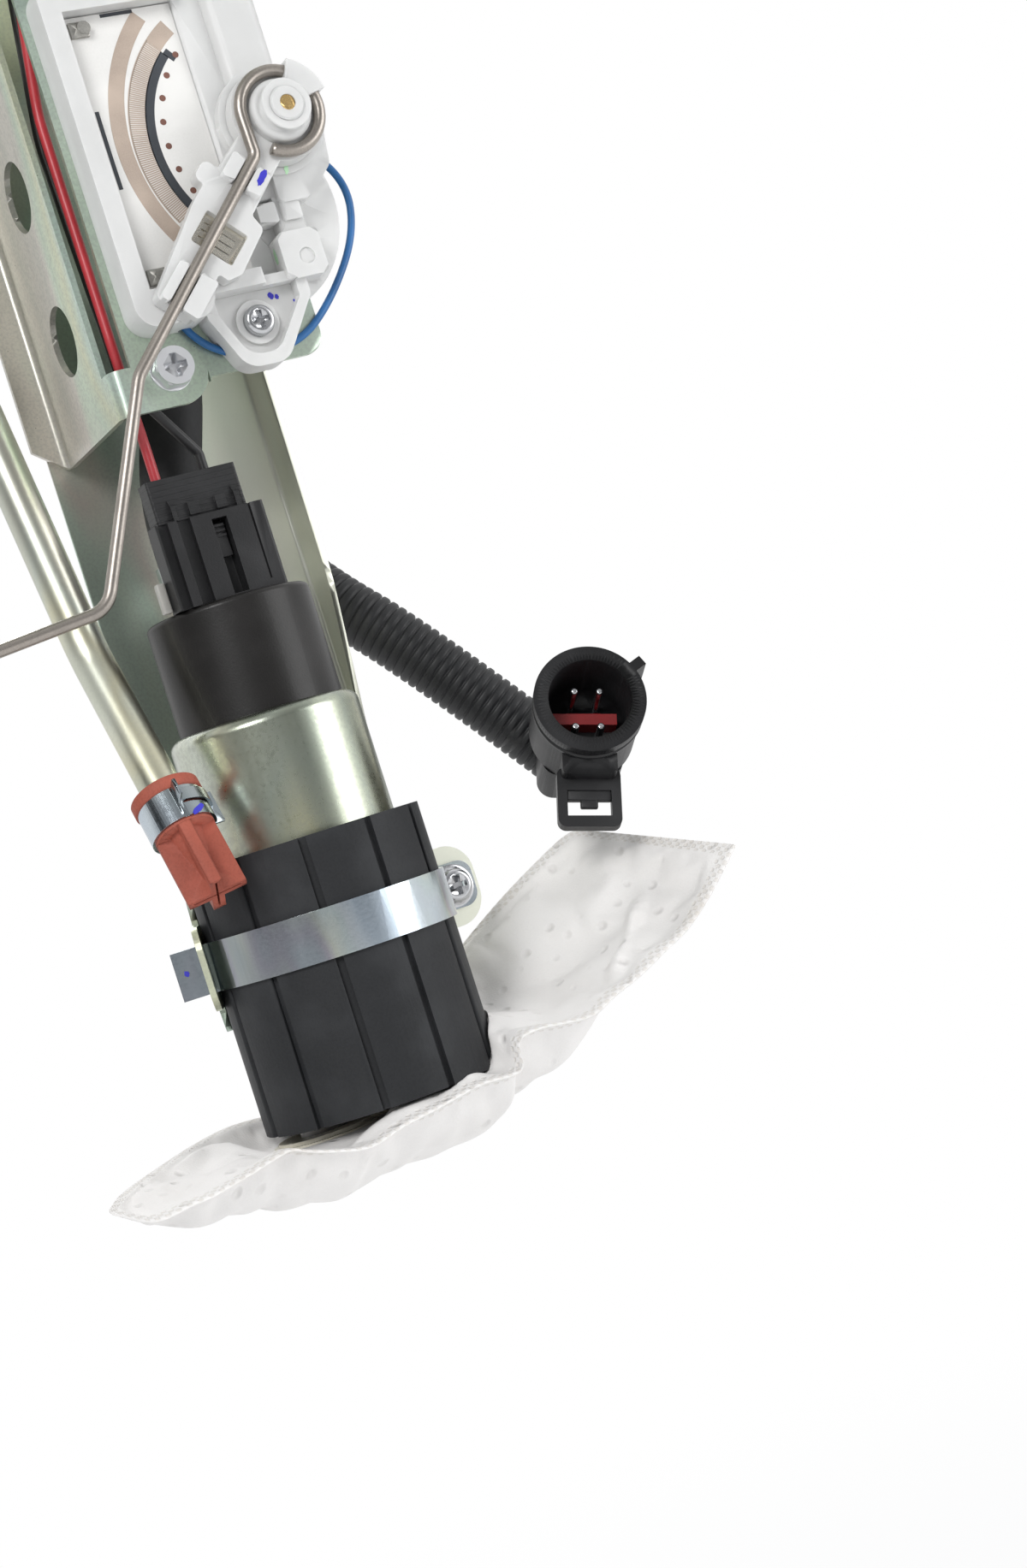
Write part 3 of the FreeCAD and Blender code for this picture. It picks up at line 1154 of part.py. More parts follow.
def float_arm():
    foot = arm_frame(LOOP_RADIUS + 2.9, 0.0, WIRE_Y)
    offset = math.degrees(math.acos(LOOP_RADIUS / (LOOP_RADIUS + 2.9)))
    join_angle = 180 + ARM_ANGLE - offset
    join = V(
        PIVOT_X + LOOP_RADIUS * math.cos(math.radians(join_angle)), WIRE_Y,
        PIVOT_Z + LOOP_RADIUS * math.sin(math.radians(join_angle)),
    )
    knee = V(ARM_KNEE.x, WIRE_Y, ARM_KNEE.z)
    elbow = V(ARM_ELBOW.x, WIRE_Y, ARM_ELBOW.z)
    corner = V(ARM_END.x, WIRE_Y, ARM_END.z)
    end = V(ARM_END.x, float_back() + FLOAT_CLIP_THICKNESS + 1.6, ARM_END.z)
    wire = bent_rod([join, foot, knee, elbow, corner, end], [2.6, 6, 6, FLOAT_BEND], WIRE_RADIUS)
    section = Part.Face(Part.Wire([Part.Circle(join, join - V(join.x, WIRE_Y, join.z) + (foot - join), WIRE_RADIUS).toShape()]))
    loop = section.revolve(V(PIVOT_X, WIRE_Y, PIVOT_Z), V(0, 1, 0), 302)
    return joined([wire, loop])


def float_front():
    return WIRE_Y + FLOAT_BEND + FLOAT_GAP


def float_back():
    return float_front() + FLOAT_WIDTH


def level_float():
    x = ARM_END.x
    z = ARM_END.z
    body = front_plate(
        rectangle(x - FLOAT_LENGTH / 2, x + FLOAT_LENGTH / 2, z - FLOAT_HEIGHT / 2, z + FLOAT_HEIGHT / 2, 4.0),
        float_front(), float_back())
    return body.cut(rod(WIRE_RADIUS + RUNNING_GAP, V(x, float_front() - 1, z), FLOAT_WIDTH + 2, V(0, 1, 0)))


def float_clip():
    return pipe(
        FLOAT_CLIP_RADIUS, WIRE_RADIUS, V(ARM_END.x, float_back() + FLOAT_GAP, ARM_END.z), FLOAT_CLIP_THICKNESS, V(0, 1, 0))


# Return valve, built hanging down from its rim and then turned onto the tube's end

def return_direction():
    return (RETURN_END - RETURN_KNEE).normalize()


def duckbill_rim():
    return RETURN_END - return_direction() * DUCKBILL_SOCKET


def onto_return_tube(shape, roll=0.0):
    shape.rotate(V(0, 0, 0), UP, roll)
    return turned_to(shape, return_direction(), duckbill_rim())


def duckbill_valve():
    outer = RETURN_RADIUS + DUCKBILL_WALL
    socket = rod(outer, V(0, 0, 0), DUCKBILL_SOCKET + 2.0)
    rim = rod(outer + DUCKBILL_RIM, V(0, 0, 0), DUCKBILL_RIM_HEIGHT)
    taper_base = DUCKBILL_SOCKET + 2.0
    taper = DUCKBILL_LENGTH - taper_base
    core = cone(outer - DUCKBILL_RECESS, 1.2, V(0, 0, taper_base - 1), taper + 1)
    fins = []
    for turn in (0, 90):
        fin = block(-outer, outer, -DUCKBILL_FIN / 2, DUCKBILL_FIN / 2, taper_base, DUCKBILL_LENGTH)
        fin.rotate(V(0, 0, 0), UP, turn)
        fins.append(fin)
    cross = joined(fins).common(rod(outer - 0.1, V(0, 0, taper_base - 1), taper + 2))
    valve = joined([socket, rim, core, cross])
    valve = valve.cut(rod(RETURN_RADIUS, V(0, 0, -1), DUCKBILL_SOCKET + 1))
    valve = valve.cut(cone(RETURN_RADIUS - 1.6, 0.5, V(0, 0, DUCKBILL_SOCKET), taper))
    for turn in (0, 90):
        slit = block(-outer + 1.2, outer - 1.2, -SLIT_WIDTH / 2, SLIT_WIDTH / 2, DUCKBILL_LENGTH - 4, DUCKBILL_LENGTH + 1)
        slit.rotate(V(0, 0, 0), UP, turn)
        valve = valve.cut(slit)
    return onto_return_tube(valve, 20)


def band_arc(inner, outer, low, high, start, sweep):
    ring = pipe(outer, inner, V(0, 0, low), high - low)
    wedge = Part.makeCylinder(outer + 4, high - low + 2, V(0, 0, low - 1), UP, sweep)
    wedge.rotate(V(0, 0, 0), UP, start)
    return ring.common(wedge)


def valve_band():
    """Spring band whose narrow end passes over a slot between two upright ears."""
    inner = RETURN_RADIUS + DUCKBILL_WALL
    outer = inner + BAND_THICKNESS
    low = DUCKBILL_RIM_HEIGHT + 0.2
    high = low + BAND_WIDTH
    middle = low + 0.6
    band = pipe(outer, inner, V(0, 0, low), BAND_WIDTH)
    slot = band_arc(inner - 0.1, outer + 0.1, low + 0.7, low + 0.7 + BAND_TONGUE + 0.6, -48, 84)
    tongue = band_arc(outer - 0.15, outer + BAND_THICKNESS, middle + 0.4, middle + 0.4 + BAND_TONGUE, -56, 100)
    near_ear = block(outer - 0.3, outer + BAND_EAR * 0.5, -0.35, 0.35, low, high)
    near_ear.rotate(V(0, 0, 0), UP, -54)
    far_ear = block(outer - 0.3, outer + BAND_EAR, -0.35, 0.35, low + 0.3, low + 0.3 + BAND_TONGUE + 0.8)
    far_ear.rotate(V(0, 0, 0), UP, 42)
    return onto_return_tube(joined([band.cut(slot), tongue, near_ear, far_ear]), 60)


# Strainer sock

def sock_ring():
    ring = pipe(SOCK_RING_RADIUS, INLET_RADIUS, V(INLET_X, INLET_Y, SOCK_RING_HEIGHT), SOCK_RING_THICKNESS)
    tab = block(INLET_X + 6, INLET_X + 12.0, INLET_Y - 4.5, INLET_Y - 1.5, SOCK_RING_HEIGHT, SOCK_RING_HEIGHT + SOCK_RING_THICKNESS)
    return joined([ring, tab])


def sock_hub():
    low = SOCK_RING_HEIGHT - HUB_HEIGHT
    hub = pipe(HUB_RADIUS, INLET_RADIUS, V(INLET_X, INLET_Y, low), HUB_HEIGHT)
    rib = level_plate(rectangle(INLET_X - 20, INLET_X + 34, INLET_Y - 5, INLET_Y + 5, 4.5), low - 2.4, low + 0.1)
    hub = joined([hub, rib])
    return hub.cut(rod(INLET_RADIUS, V(INLET_X, INLET_Y, low - 3), HUB_HEIGHT + 4))


# Stations of the bag: x, then y and z of the near seam, the belly and the far seam.
SOCK_STATIONS = [
    (-57.0, (-12.0, -300.6), (-4.0, -301.8), (4.0, -300.2)),
    (-46.0, (-22.0, -303.0), (-5.0, -307.0), (13.0, -297.6)),
    (-30.0, (-26.0, -299.0), (-5.0, -310.5), (19.0, -296.6)),
    (-12.0, (-27.0, -302.5), (-5.0, -312.6), (21.0, -298.0)),
    (8.0, (-27.0, -299.0), (-5.0, -311.0), (22.0, -293.0)),
    (28.0, (-26.0, -294.5), (-4.0, -306.6), (22.0, -283.5)),
    (48.0, (-25.0, -291.0), (-2.0, -296.5), (21.0, -270.0)),
    (66.0, (-24.0, -281.5), (-1.0, -279.5), (19.0, -262.0)),
    (79.0, (-22.0, -272.0), (0.0, -269.0), (16.0, -261.4)),
]
SOCK_FULLNESS = 2.2


def sock_section(x, near, belly, far):
    near = V(x, near[0], near[1])
    far = V(x, far[0], far[1])
    belly = V(x, belly[0], belly[1])
    across = far - near
    middle = near + across * 0.5
    up = V(1, 0, 0).cross(across).normalize()
    sag = max((middle - belly).dot(up), 1.2)
    crown = middle - up * max(sag - SOCK_FULLNESS * 2, 0.2) * (1 if sag > 3 else -1)
    return Part.Wire([Part.Arc(near, belly, far).toShape(), Part.Arc(far, crown, near).toShape()])


def sock_bag():
    sections = [sock_section(*station) for station in SOCK_STATIONS]
    bag = Part.makeLoft(sections, True, False)
    return bag.cut(sock_clearance())


def sock_clearance():
    low = SOCK_RING_HEIGHT - HUB_HEIGHT
    well = rod(HUB_RADIUS + 0.3, V(INLET_X, INLET_Y, low - 0.1), 30)
    rib = level_plate(rectangle(INLET_X - 20.3, INLET_X + 34.3, INLET_Y - 5.3, INLET_Y + 5.3, 4.8), low - 2.7, low + 0.2)
    sleeve = rod(SLEEVE_RADIUS + SOCK_CLEARANCE, V(0, 0, SLEEVE_BOTTOM - SOCK_CLEARANCE), 30)
    return joined([well, rib, sleeve])


# Harness

def harness_gland():
    neck = rod(GLAND_NECK, V(GLAND_X, GLAND_Y, -GLAND_BELOW), GLAND_BELOW + FLANGE_THICKNESS + 1)
    collar = rod(GLAND_RADIUS, V(GLAND_X, GLAND_Y, FLANGE_THICKNESS), 3.0)
    tower = rod(GLAND_NECK, V(GLAND_X, GLAND_Y, FLANGE_THICKNESS), CONDUIT_HEIGHT - FLANGE_THICKNESS)
    dome = Part.makeSphere(GLAND_NECK, V(GLAND_X, GLAND_Y, CONDUIT_HEIGHT))
    spout = rod(GLAND_NECK, V(GLAND_X, GLAND_Y, CONDUIT_HEIGHT), GLAND_REACH, V(0, 1, 0))
    gland = joined([neck, collar, tower, dome, spout])
    for x, y, radius in [
        (GLAND_X - 3.2, GLAND_Y - 1.5, LEAD_RADIUS), (GLAND_X - 3.2, GLAND_Y + 2.5, LEAD_RADIUS), (BLUE_OUT.x, BLUE_OUT.y, SIGNAL_RADIUS),
    ]:
        gland = gland.cut(rod(radius, V(x, y, -GLAND_BELOW - 1), 1.0))
    return gland


def conduit_route():
    return [
        V(GLAND_X, GLAND_Y + GLAND_REACH, CONDUIT_HEIGHT),
        V(22.5, 60.0, 15.0),
        V(27.0, 86.0, -8.0),
        V(31.0, 92.0, -45.0),
        V(33.0, 90.0, -90.0),
        V(30.0, 78.0, -134.0),
        V(26.0, 61.0, -170.0),
        V(30.0, 44.0, -192.0),
        V(44.0, 33.0, -210.0),
        V(62.8, 25.6, -236.1),
    ]


def conduit_bends(route):
    bends = []
    for i in range(1, len(route) - 1):
        back = route[i - 1] - route[i]
        ahead = route[i + 1] - route[i]
        half_turn = (math.pi - back.getAngle(ahead)) / 2
        bends.append(0.45 * min(back.Length, ahead.Length) / math.tan(half_turn))
    return bends


def harness_conduit():
    route = conduit_route()
    bends = conduit_bends(route)
    print("conduit radii", [round(b, 1) for b in bends])
    return bent_rod(route, bends, CONDUIT_RADIUS)


def shell_rear():
    return MOUTH - MOUTH_AXIS.normalize() * (SHELL_DEPTH + SHELL_FLOOR + SHELL_REAR)


def harness_tail():
    end = conduit_route()[-1]
    direction = (end - conduit_route()[-2]).normalize()
    rear = shell_rear()
    corner = rear - MOUTH_AXIS.normalize() * 7.0
    first = rod(TAIL_RADIUS, end, (corner - end).Length, corner - end)
    sleeve = rod(TAIL_RADIUS, end, 3.0, direction)
    knee = Part.makeSphere(TAIL_RADIUS, corner)
    second = rod(TAIL_RADIUS, corner, 7.0, rear - corner)
    return joined([sleeve, first, knee, second])


# Connector, built with its mouth at the origin facing up and the latch towards -Y

def connector_placement():
    z = V(MOUTH_AXIS).normalize()
    y = (V(LATCH_DIRECTION) * -1)
    y = (y - z * y.dot(z)).normalize()
    x = y.cross(z)
    matrix = FreeCAD.Matrix(
        x.x, y.x, z.x, MOUTH.x,
        x.y, y.y, z.y, MOUTH.y,
        x.z, y.z, z.z, MOUTH.z,
        0, 0, 0, 1,
    )
    return FreeCAD.Placement(matrix)


def onto_harness(shape):
    shape.Placement = connector_placement().multiply(shape.Placement)
    return shape


def pin_places():
    return [(sx * PIN_SPACING_X / 2, sy * PIN_SPACING_Y / 2) for sy in (-1, 1) for sx in (-1, 1)]


def connector_shell():
    floor = -SHELL_DEPTH - SHELL_FLOOR
    barrel = rod(SHELL_RADIUS, V(0, 0, floor), -floor)
    lip = rod(SHELL_RADIUS + 0.5, V(0, 0, -2.4), 2.4)
    rear = level_plate(
        rectangle(-REAR_WIDTH / 2, REAR_WIDTH / 2, -REAR_HEIGHT / 2 - 2.5, REAR_HEIGHT / 2 - 2.5, 3.5), floor - SHELL_REAR, floor)
    key = block(SHELL_RADIUS - 1.0, SHELL_RADIUS + 3.0, -1.1, 1.1, -9.0, 0)
    key.rotate(V(0, 0, 0), UP, 38)
    saddle = level_plate(rectangle(-5.6, 5.6, -SHELL_RADIUS - 3.2, -SHELL_RADIUS + 3, 1.0), floor, -5.0)
    shell = joined([barrel, lip, rear, key, saddle])
    shell = shell.cut(rod(SHELL_RADIUS - SHELL_WALL, V(0, 0, -SHELL_DEPTH), SHELL_DEPTH + 1))
    for x, y in pin_places():
        shell = shell.cut(rod(CONTACT_PIN_RADIUS, V(x, y, -SHELL_DEPTH - SHELL_FLOOR), SHELL_DEPTH))
    return onto_harness(shell)


def connector_pins():
    pins = []
    for x, y in pin_places():
        pin = rod(CONTACT_PIN_RADIUS, V(x, y, -SHELL_DEPTH - SHELL_FLOOR), SHELL_FLOOR + CONTACT_PIN_LENGTH)
        pins.append(onto_harness(pin.makeFillet(0.5, [pin.Edges[0]])))
    return Part.makeCompound(pins)


def connector_lock():
    bar = block(-6.6, 6.6, -1.2, 1.2, -SHELL_DEPTH, -SHELL_DEPTH + 4.2)
    feet = block(-3.6, 3.6, 1.2, 2.4, -SHELL_DEPTH, -SHELL_DEPTH + 1.6)
    return onto_harness(joined([bar, feet]))


def connector_latch():
    half = LATCH_WIDTH / 2
    root = -SHELL_RADIUS - 2.0
    z0 = -11.0
    z1 = -8.4
    loop = level_plate(rectangle(-half, half, -LATCH_DROP - 5.0, root + 1.4, 1.8), z0, z1)
    window = block(-half + LATCH_BAR, half - LATCH_BAR, -LATCH_DROP - 5.0 + LATCH_BAR + 0.4, root - 3.6, z0 - 1, z1 + 1)
    return onto_harness(loop.cut(window).cut(onto_saddle(z0, z1)))


def onto_saddle(z0, z1):
    return level_plate(rectangle(-5.6, 5.6, -SHELL_RADIUS - 3.2, -SHELL_RADIUS + 3, 1.0), z0 - 1, z1 + 1)


def all_parts():
    return {
        "flange_plate": flange_plate(),
        "feed_tube": feed_tube(),
        "return_tube": return_tube(),
        "feed_hose": feed_hose(),
        "hose_clamps": hose_clamps(),
        "main_channel": main_channel(),
        "sender_bracket": sender_bracket(),
        "bracket_screw": bracket_screw(),
        "clinch_nut": clinch_nut(),
        "pump_can": pump_can(),
        "pump_end_cap": pump_end_cap(),
        "pump_terminals": pump_terminals(),
        "check_valve": check_valve(),
        "armature": armature(),
        "windings": windings(),
        "commutator": commutator(),
        "motor_shaft": motor_shaft(),
        "carbon_brushes": carbon_brushes(),
        "magnets": magnets(),
        "impeller": impeller(),
        "bearing_plate": bearing_plate(),
        "inlet_plate": inlet_plate(),
        "rubber_sleeve": rubber_sleeve(),
        "strap": strap(),
        "strap_screw": strap_screw(),
        "strap_nut": strap_nut(),
        "plug_housing": plug_housing(),
        "plug_cap": plug_cap(),
        "red_wire": red_wire(),
        "black_wire": black_wire(),
        "blue_wire": blue_wire(),
        "sender_body": sender_body(),
        "resistor_card": resistor_card(),
        "card_terminals": card_terminals(),
        "sender_screws": sender_screws(),
        "pivot_pin": pivot_pin(),
        "wiper_carrier": wiper_carrier(),
        "wiper_contacts": wiper_contacts(),
        "float_arm": float_arm(),
        "level_float": level_float(),
        "float_clip": float_clip(),
        "duckbill_valve": duckbill_valve(),
        "valve_band": valve_band(),
        "sock_ring": sock_ring(),
        "sock_hub": sock_hub(),
        "sock_bag": sock_bag(),
        "harness_gland": harness_gland(),
        "harness_conduit": harness_conduit(),
        "harness_tail": harness_tail(),
        "connector_shell": connector_shell(),
        "connector_pins": connector_pins(),
        "connector_lock": connector_lock(),
        "connector_latch": connector_latch(),
    }


def main():
    os.makedirs("parts", exist_ok=True)
    for name, shape in all_parts().items():
        print(name, len(shape.Solids), round(shape.Volume, 1), shape.isValid())
        shape.exportStep("parts/" + name + ".step")


main()
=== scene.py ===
"""Looks of a fuel pump module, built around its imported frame."""

from __future__ import annotations

import json
import logging
import math
import random
from dataclasses import dataclass, field
from enum import Enum
from typing import Sequence

import bmesh
import bpy
from mathutils import Matrix, Vector, noise

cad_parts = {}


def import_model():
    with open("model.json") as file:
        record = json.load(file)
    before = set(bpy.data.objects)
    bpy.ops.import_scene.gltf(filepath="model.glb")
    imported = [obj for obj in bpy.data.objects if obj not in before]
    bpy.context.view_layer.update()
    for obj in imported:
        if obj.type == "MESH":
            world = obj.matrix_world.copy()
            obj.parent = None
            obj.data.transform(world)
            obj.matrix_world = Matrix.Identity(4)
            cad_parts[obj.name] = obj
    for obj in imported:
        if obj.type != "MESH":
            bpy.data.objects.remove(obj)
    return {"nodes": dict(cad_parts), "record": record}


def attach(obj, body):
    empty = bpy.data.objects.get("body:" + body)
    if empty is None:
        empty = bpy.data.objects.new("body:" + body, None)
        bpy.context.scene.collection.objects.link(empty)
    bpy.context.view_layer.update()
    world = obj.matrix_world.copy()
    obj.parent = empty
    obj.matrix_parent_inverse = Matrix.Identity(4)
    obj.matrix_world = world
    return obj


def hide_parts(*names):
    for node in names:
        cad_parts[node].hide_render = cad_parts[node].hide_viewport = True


LOG = logging.getLogger("fuel_pump_module")
MM = 0.001
Colour = tuple[float, float, float]
Place = tuple[float, float, float]
Stretch = tuple[float, float, float]
SMOOTH_ANGLE = math.radians(32.0)
CRISP_ANGLE = math.radians(19.0)
FINEST_RELIEF = 0.000001
SAME_POINT = 0.000001
SAME_CORNER = 0.000002
SAME_INK = 0.0000001
RING_SIDES = 72
RING_EDGE = 0.35
KNOT_STEPS = 12


class Value:
    """One output of a node tree, with the arithmetic that the finishes use."""

    def __init__(self, tree: "NodeTree", socket: bpy.types.NodeSocket) -> None:
        """Keep the tree and the socket."""
        self.tree = tree
        self.socket = socket

    def _math(self, operation: str, first: object, second: object = 0.0) -> "Value":
        """Add one Math node.

        Args:
            operation: the node's operation.
            first: its first value or link.
            second: its second value or link.

        Returns:
            The node's result.
        """
        return self.tree.node("ShaderNodeMath", {"operation": operation}, {0: first, 1: second}).out()

    def __add__(self, other: object) -> "Value":
        """Add."""
        return self._math("ADD", self, other)

    def __radd__(self, other: object) -> "Value":
        """Add from the right."""
        return self._math("ADD", other, self)

    def __sub__(self, other: object) -> "Value":
        """Take away."""
        return self._math("SUBTRACT", self, other)

    def __rsub__(self, other: object) -> "Value":
        """Take this away from a number."""
        return self._math("SUBTRACT", other, self)

    def __mul__(self, other: object) -> "Value":
        """Multiply."""
        return self._math("MULTIPLY", self, other)

    def __rmul__(self, other: object) -> "Value":
        """Multiply from the right."""
        return self._math("MULTIPLY", other, self)

    def __truediv__(self, other: object) -> "Value":
        """Divide."""
        return self._math("DIVIDE", self, other)

    def __pow__(self, other: object) -> "Value":
        """Raise to a power."""
        return self._math("POWER", self, other)

    def wave(self) -> "Value":
        """Sine of this value."""
        return self._math("SINE", self)

    def step(self, low: float, high: float) -> "Value":
        """Ease from 0 at low to 1 at high.

        Args:
            low: the value that gives 0.
            high: the value that gives 1.

        Returns:
            The eased value.
        """
        settings = {"interpolation_type": "SMOOTHSTEP", "clamp": True}
        sockets = {"Value": self, "From Min": low, "From Max": high}
        return self.tree.node("ShaderNodeMapRange", settings, sockets).out()


class Node:
    """A node that has been added to a tree."""

    def __init__(self, tree: "NodeTree", node: bpy.types.Node) -> None:
        """Keep the tree and the node."""
        self.tree = tree
        self.node = node

    def out(self, key: int | str = 0) -> Value:
        """Return one output of the node."""
        return Value(self.tree, self.node.outputs[key])


class NodeTree:
    """Adds nodes of any type to a shader or geometry tree."""

    def __init__(self, tree: bpy.types.NodeTree) -> None:
        """Keep Blender's tree."""
        self.tree = tree

    def node(self, kind: str, settings: dict | None = None, sockets: dict | None = None) -> Node:
        """Add a node.

        Args:
            kind: the node's type.
            settings: its properties, set before its sockets.
            sockets: values or links by socket name or place.

        Returns:
            The wrapped node.
        """
        made = self.tree.nodes.new(kind)
        for name, value in (settings or {}).items():
            if name == "stops":
                self._stops(made, value)
            else:
                setattr(made, name, value)
        for key, value in (sockets or {}).items():
            if isinstance(value, Value):
                self.tree.links.new(value.socket, made.inputs[key])
            elif isinstance(value, tuple) and len(value) == 3 and made.inputs[key].type == "RGBA":
                made.inputs[key].default_value = (*value, 1.0)
            else:
                made.inputs[key].default_value = value
        return Node(self, made)

    @staticmethod
    def _stops(ramp: bpy.types.Node, stops: Sequence[tuple[float, Colour]]) -> None:
        """Give a colour ramp its stops."""
        elements = ramp.color_ramp.elements
        while len(elements) < len(stops):
            elements.new(0.5)
        for element, (place, colour) in zip(elements, stops):
            element.position = place
            element.color = (*colour, 1.0)


def finish_name(name: str) -> str:
    """Name of a finish's material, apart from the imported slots."""
    return name + "_finish"


class Shader(NodeTree):
    """A material's tree with the few blocks that every finish shares."""

    def __init__(self, name: str) -> None:
        """Start a material of that name."""
        self.material = bpy.data.materials.new(finish_name(name))
        self.material.use_nodes = True
        super().__init__(self.material.node_tree)
        self.tree.nodes.clear()
        self.place = self.node("ShaderNodeTexCoord").out("Object")

    def stretched(self, scale: Sequence[float]) -> Value:
        """Object coordinates scaled along each axis."""
        return self.node("ShaderNodeMapping", None, {"Vector": self.place, "Scale": tuple(scale)}).out()

    def noise(self, size: float, detail: float = 2.0, stretch: Sequence[float] = (1.0, 1.0, 1.0)) -> Value:
        """Smooth noise.

        Args:
            size: the width of one patch in metres.
            detail: how many finer layers it has.
            stretch: how much closer the patches lie along each axis.

        Returns:
            A value around 0.5.
        """
        sockets = {"Vector": self.stretched(stretch), "Scale": 1.0 / size, "Detail": detail}
        return self.node("ShaderNodeTexNoise", None, sockets).out(0)

    def ramp(self, factor: Value, stops: Sequence[tuple[float, Colour]]) -> Value:
        """Colours along a value."""
        return self.node("ShaderNodeValToRGB", {"stops": stops}, {"Fac": factor}).out()

    def mix(self, factor: object, first: object, second: object, blend: str = "MIX") -> Value:
        """Mix two colours.

        Args:
            factor: how much of the second.
            first: the first colour or link.
            second: the second colour or link.
            blend: the kind of mix.

        Returns:
            The mixed colour.
        """
        settings = {"data_type": "RGBA", "blend_type": blend, "clamp_factor": True}
        return self.node("ShaderNodeMix", settings, {0: factor, 6: first, 7: second}).out(2)

    def axes(self) -> tuple[Value, Value, Value]:
        """Object coordinates as three values."""
        parts = self.node("ShaderNodeSeparateXYZ", None, {0: self.place})
        return parts.out(0), parts.out(1), parts.out(2)

    def finish(self, surface: dict, height: Value, depth: float, edge: float = 0.0) -> bpy.types.Material:
        """Close the tree with its surface.

        Args:
            surface: the surface's sockets.
            height: the relief.
            depth: how deep the relief is in metres.
            edge: the radius of worn edges in metres.

        Returns:
            The finished material.
        """
        relief = {"Height": height, "Distance": depth, "Strength": 1.0}
        if edge > 0.0:
            relief["Normal"] = self.node("ShaderNodeBevel", {"samples": 4}, {"Radius": edge}).out()
        normal = self.node("ShaderNodeBump", None, relief).out()
        closed = self.node("ShaderNodeBsdfPrincipled", None, {**surface, "Normal": normal}).out()
        self.node("ShaderNodeOutputMaterial", None, {"Surface": closed})
        return self.material


@dataclass(frozen=True)
class PlatedSteel:
    """Sheet steel with a thin zinc plate whose tint drifts from green through gold to pink."""

    name: str = "zinc_steel"
    tints: tuple[Colour, ...] = (
        (0.42, 0.50, 0.42), (0.50, 0.60, 0.48), (0.58, 0.68, 0.57), (0.54, 0.66, 0.58), (0.68, 0.70, 0.50),
        (0.60, 0.70, 0.56), (0.64, 0.60, 0.54),
    )
    grain_shade: float = 0.28
    streak_shade: float = 0.20
    roughness: float = 0.30
    patch: float = 0.050
    stretch: Stretch = (1.0, 1.0, 0.40)
    grain: float = 0.0006
    # The band, its shade and its stretch set broad darker zones in the colour: painted reflections of dark
    # surroundings.
    band: float = 0.030
    band_shade: float = 0.25
    band_stretch: Stretch = (1.0, 1.0, 0.5)
    # The pale side is a painted highlight: between the two places along x the colour turns towards the pale
    # tint.
    pale: Colour = (0.93, 0.94, 0.82)
    pale_from: float = 0.0
    pale_to: float = 0.0
    pale_share: float = 0.0
    metal: float = 1.0
    relief: float = 0.000004
    edge: float = 0.00006

    def material(self) -> bpy.types.Material:
        """Build the material."""
        shader = Shader(self.name)
        cloud = shader.noise(self.patch, 2.0, self.stretch)
        last = len(self.tints) - 1
        stops = [(0.36 + 0.28 * i / last, tint) for i, tint in enumerate(self.tints)]
        colour = shader.ramp(cloud, stops)
        speck = shader.noise(self.grain, 2.0)
        grey = tuple(sum(self.tints[0]) / 3.0 * 0.62 for _ in range(3))
        speckled = shader.mix(speck.step(0.38, 0.68) * self.grain_shade, colour, grey)
        # Fine streaks along the height: drawn marks in roughness and relief, and in the colour also painted
        # reflection streaks.
        streak = shader.noise(0.005, 3.0, (1.0, 1.0, 0.05)).step(0.35, 0.72)
        shaded = shader.mix(streak * self.streak_shade, speckled, tuple(c * 0.66 for c in self.tints[3]))
        # Painted reflection: broad darker zones darken the colour where the metal would mirror dark
        # surroundings.
        painted_reflection_zone = shader.noise(self.band, 1.0, self.band_stretch).step(0.42, 0.60)
        dim = tuple(c * 0.42 for c in self.tints[0])
        tone = shader.mix(painted_reflection_zone * self.band_shade, shaded, dim)
        # Painted highlight: the side at larger x is painted paler.
        if self.pale_share > 0.0:
            side = shader.axes()[0].step(self.pale_from, self.pale_to)
            tone = shader.mix(side * self.pale_share, tone, self.pale)
        surface = {
            "Base Color": tone,
            "Metallic": self.metal,
            "Roughness": speck * 0.14 + streak * 0.06 + (self.roughness - 0.07),
        }
        return shader.finish(surface, speck + streak * 0.4, self.relief, self.edge)


@dataclass(frozen=True)
class BareMetal:
    """Turned or stamped metal with fine marks."""

    name: str
    colour: Colour
    roughness: float = 0.28
    marks: float = 0.0004
    shade: float = 0.16
    edge: float = 0.00006

    def material(self) -> bpy.types.Material:
        """Build the material."""
        shader = Shader(self.name)
        fine = shader.noise(self.marks, 3.0)
        broad = shader.noise(self.marks * 14.0, 2.0)
        dark = tuple(c * (1.0 - self.shade) for c in self.colour)
        worn = fine.step(0.3, 0.7) * 0.5 + broad.step(0.4, 0.7) * 0.5
        surface = {
            "Base Color": shader.mix(worn, self.colour, dark),
            "Metallic": 1.0,
            "Roughness": fine * 0.10 + broad * 0.08 + (self.roughness - 0.09),
        }
        return shader.finish(surface, fine, FINEST_RELIEF, self.edge)


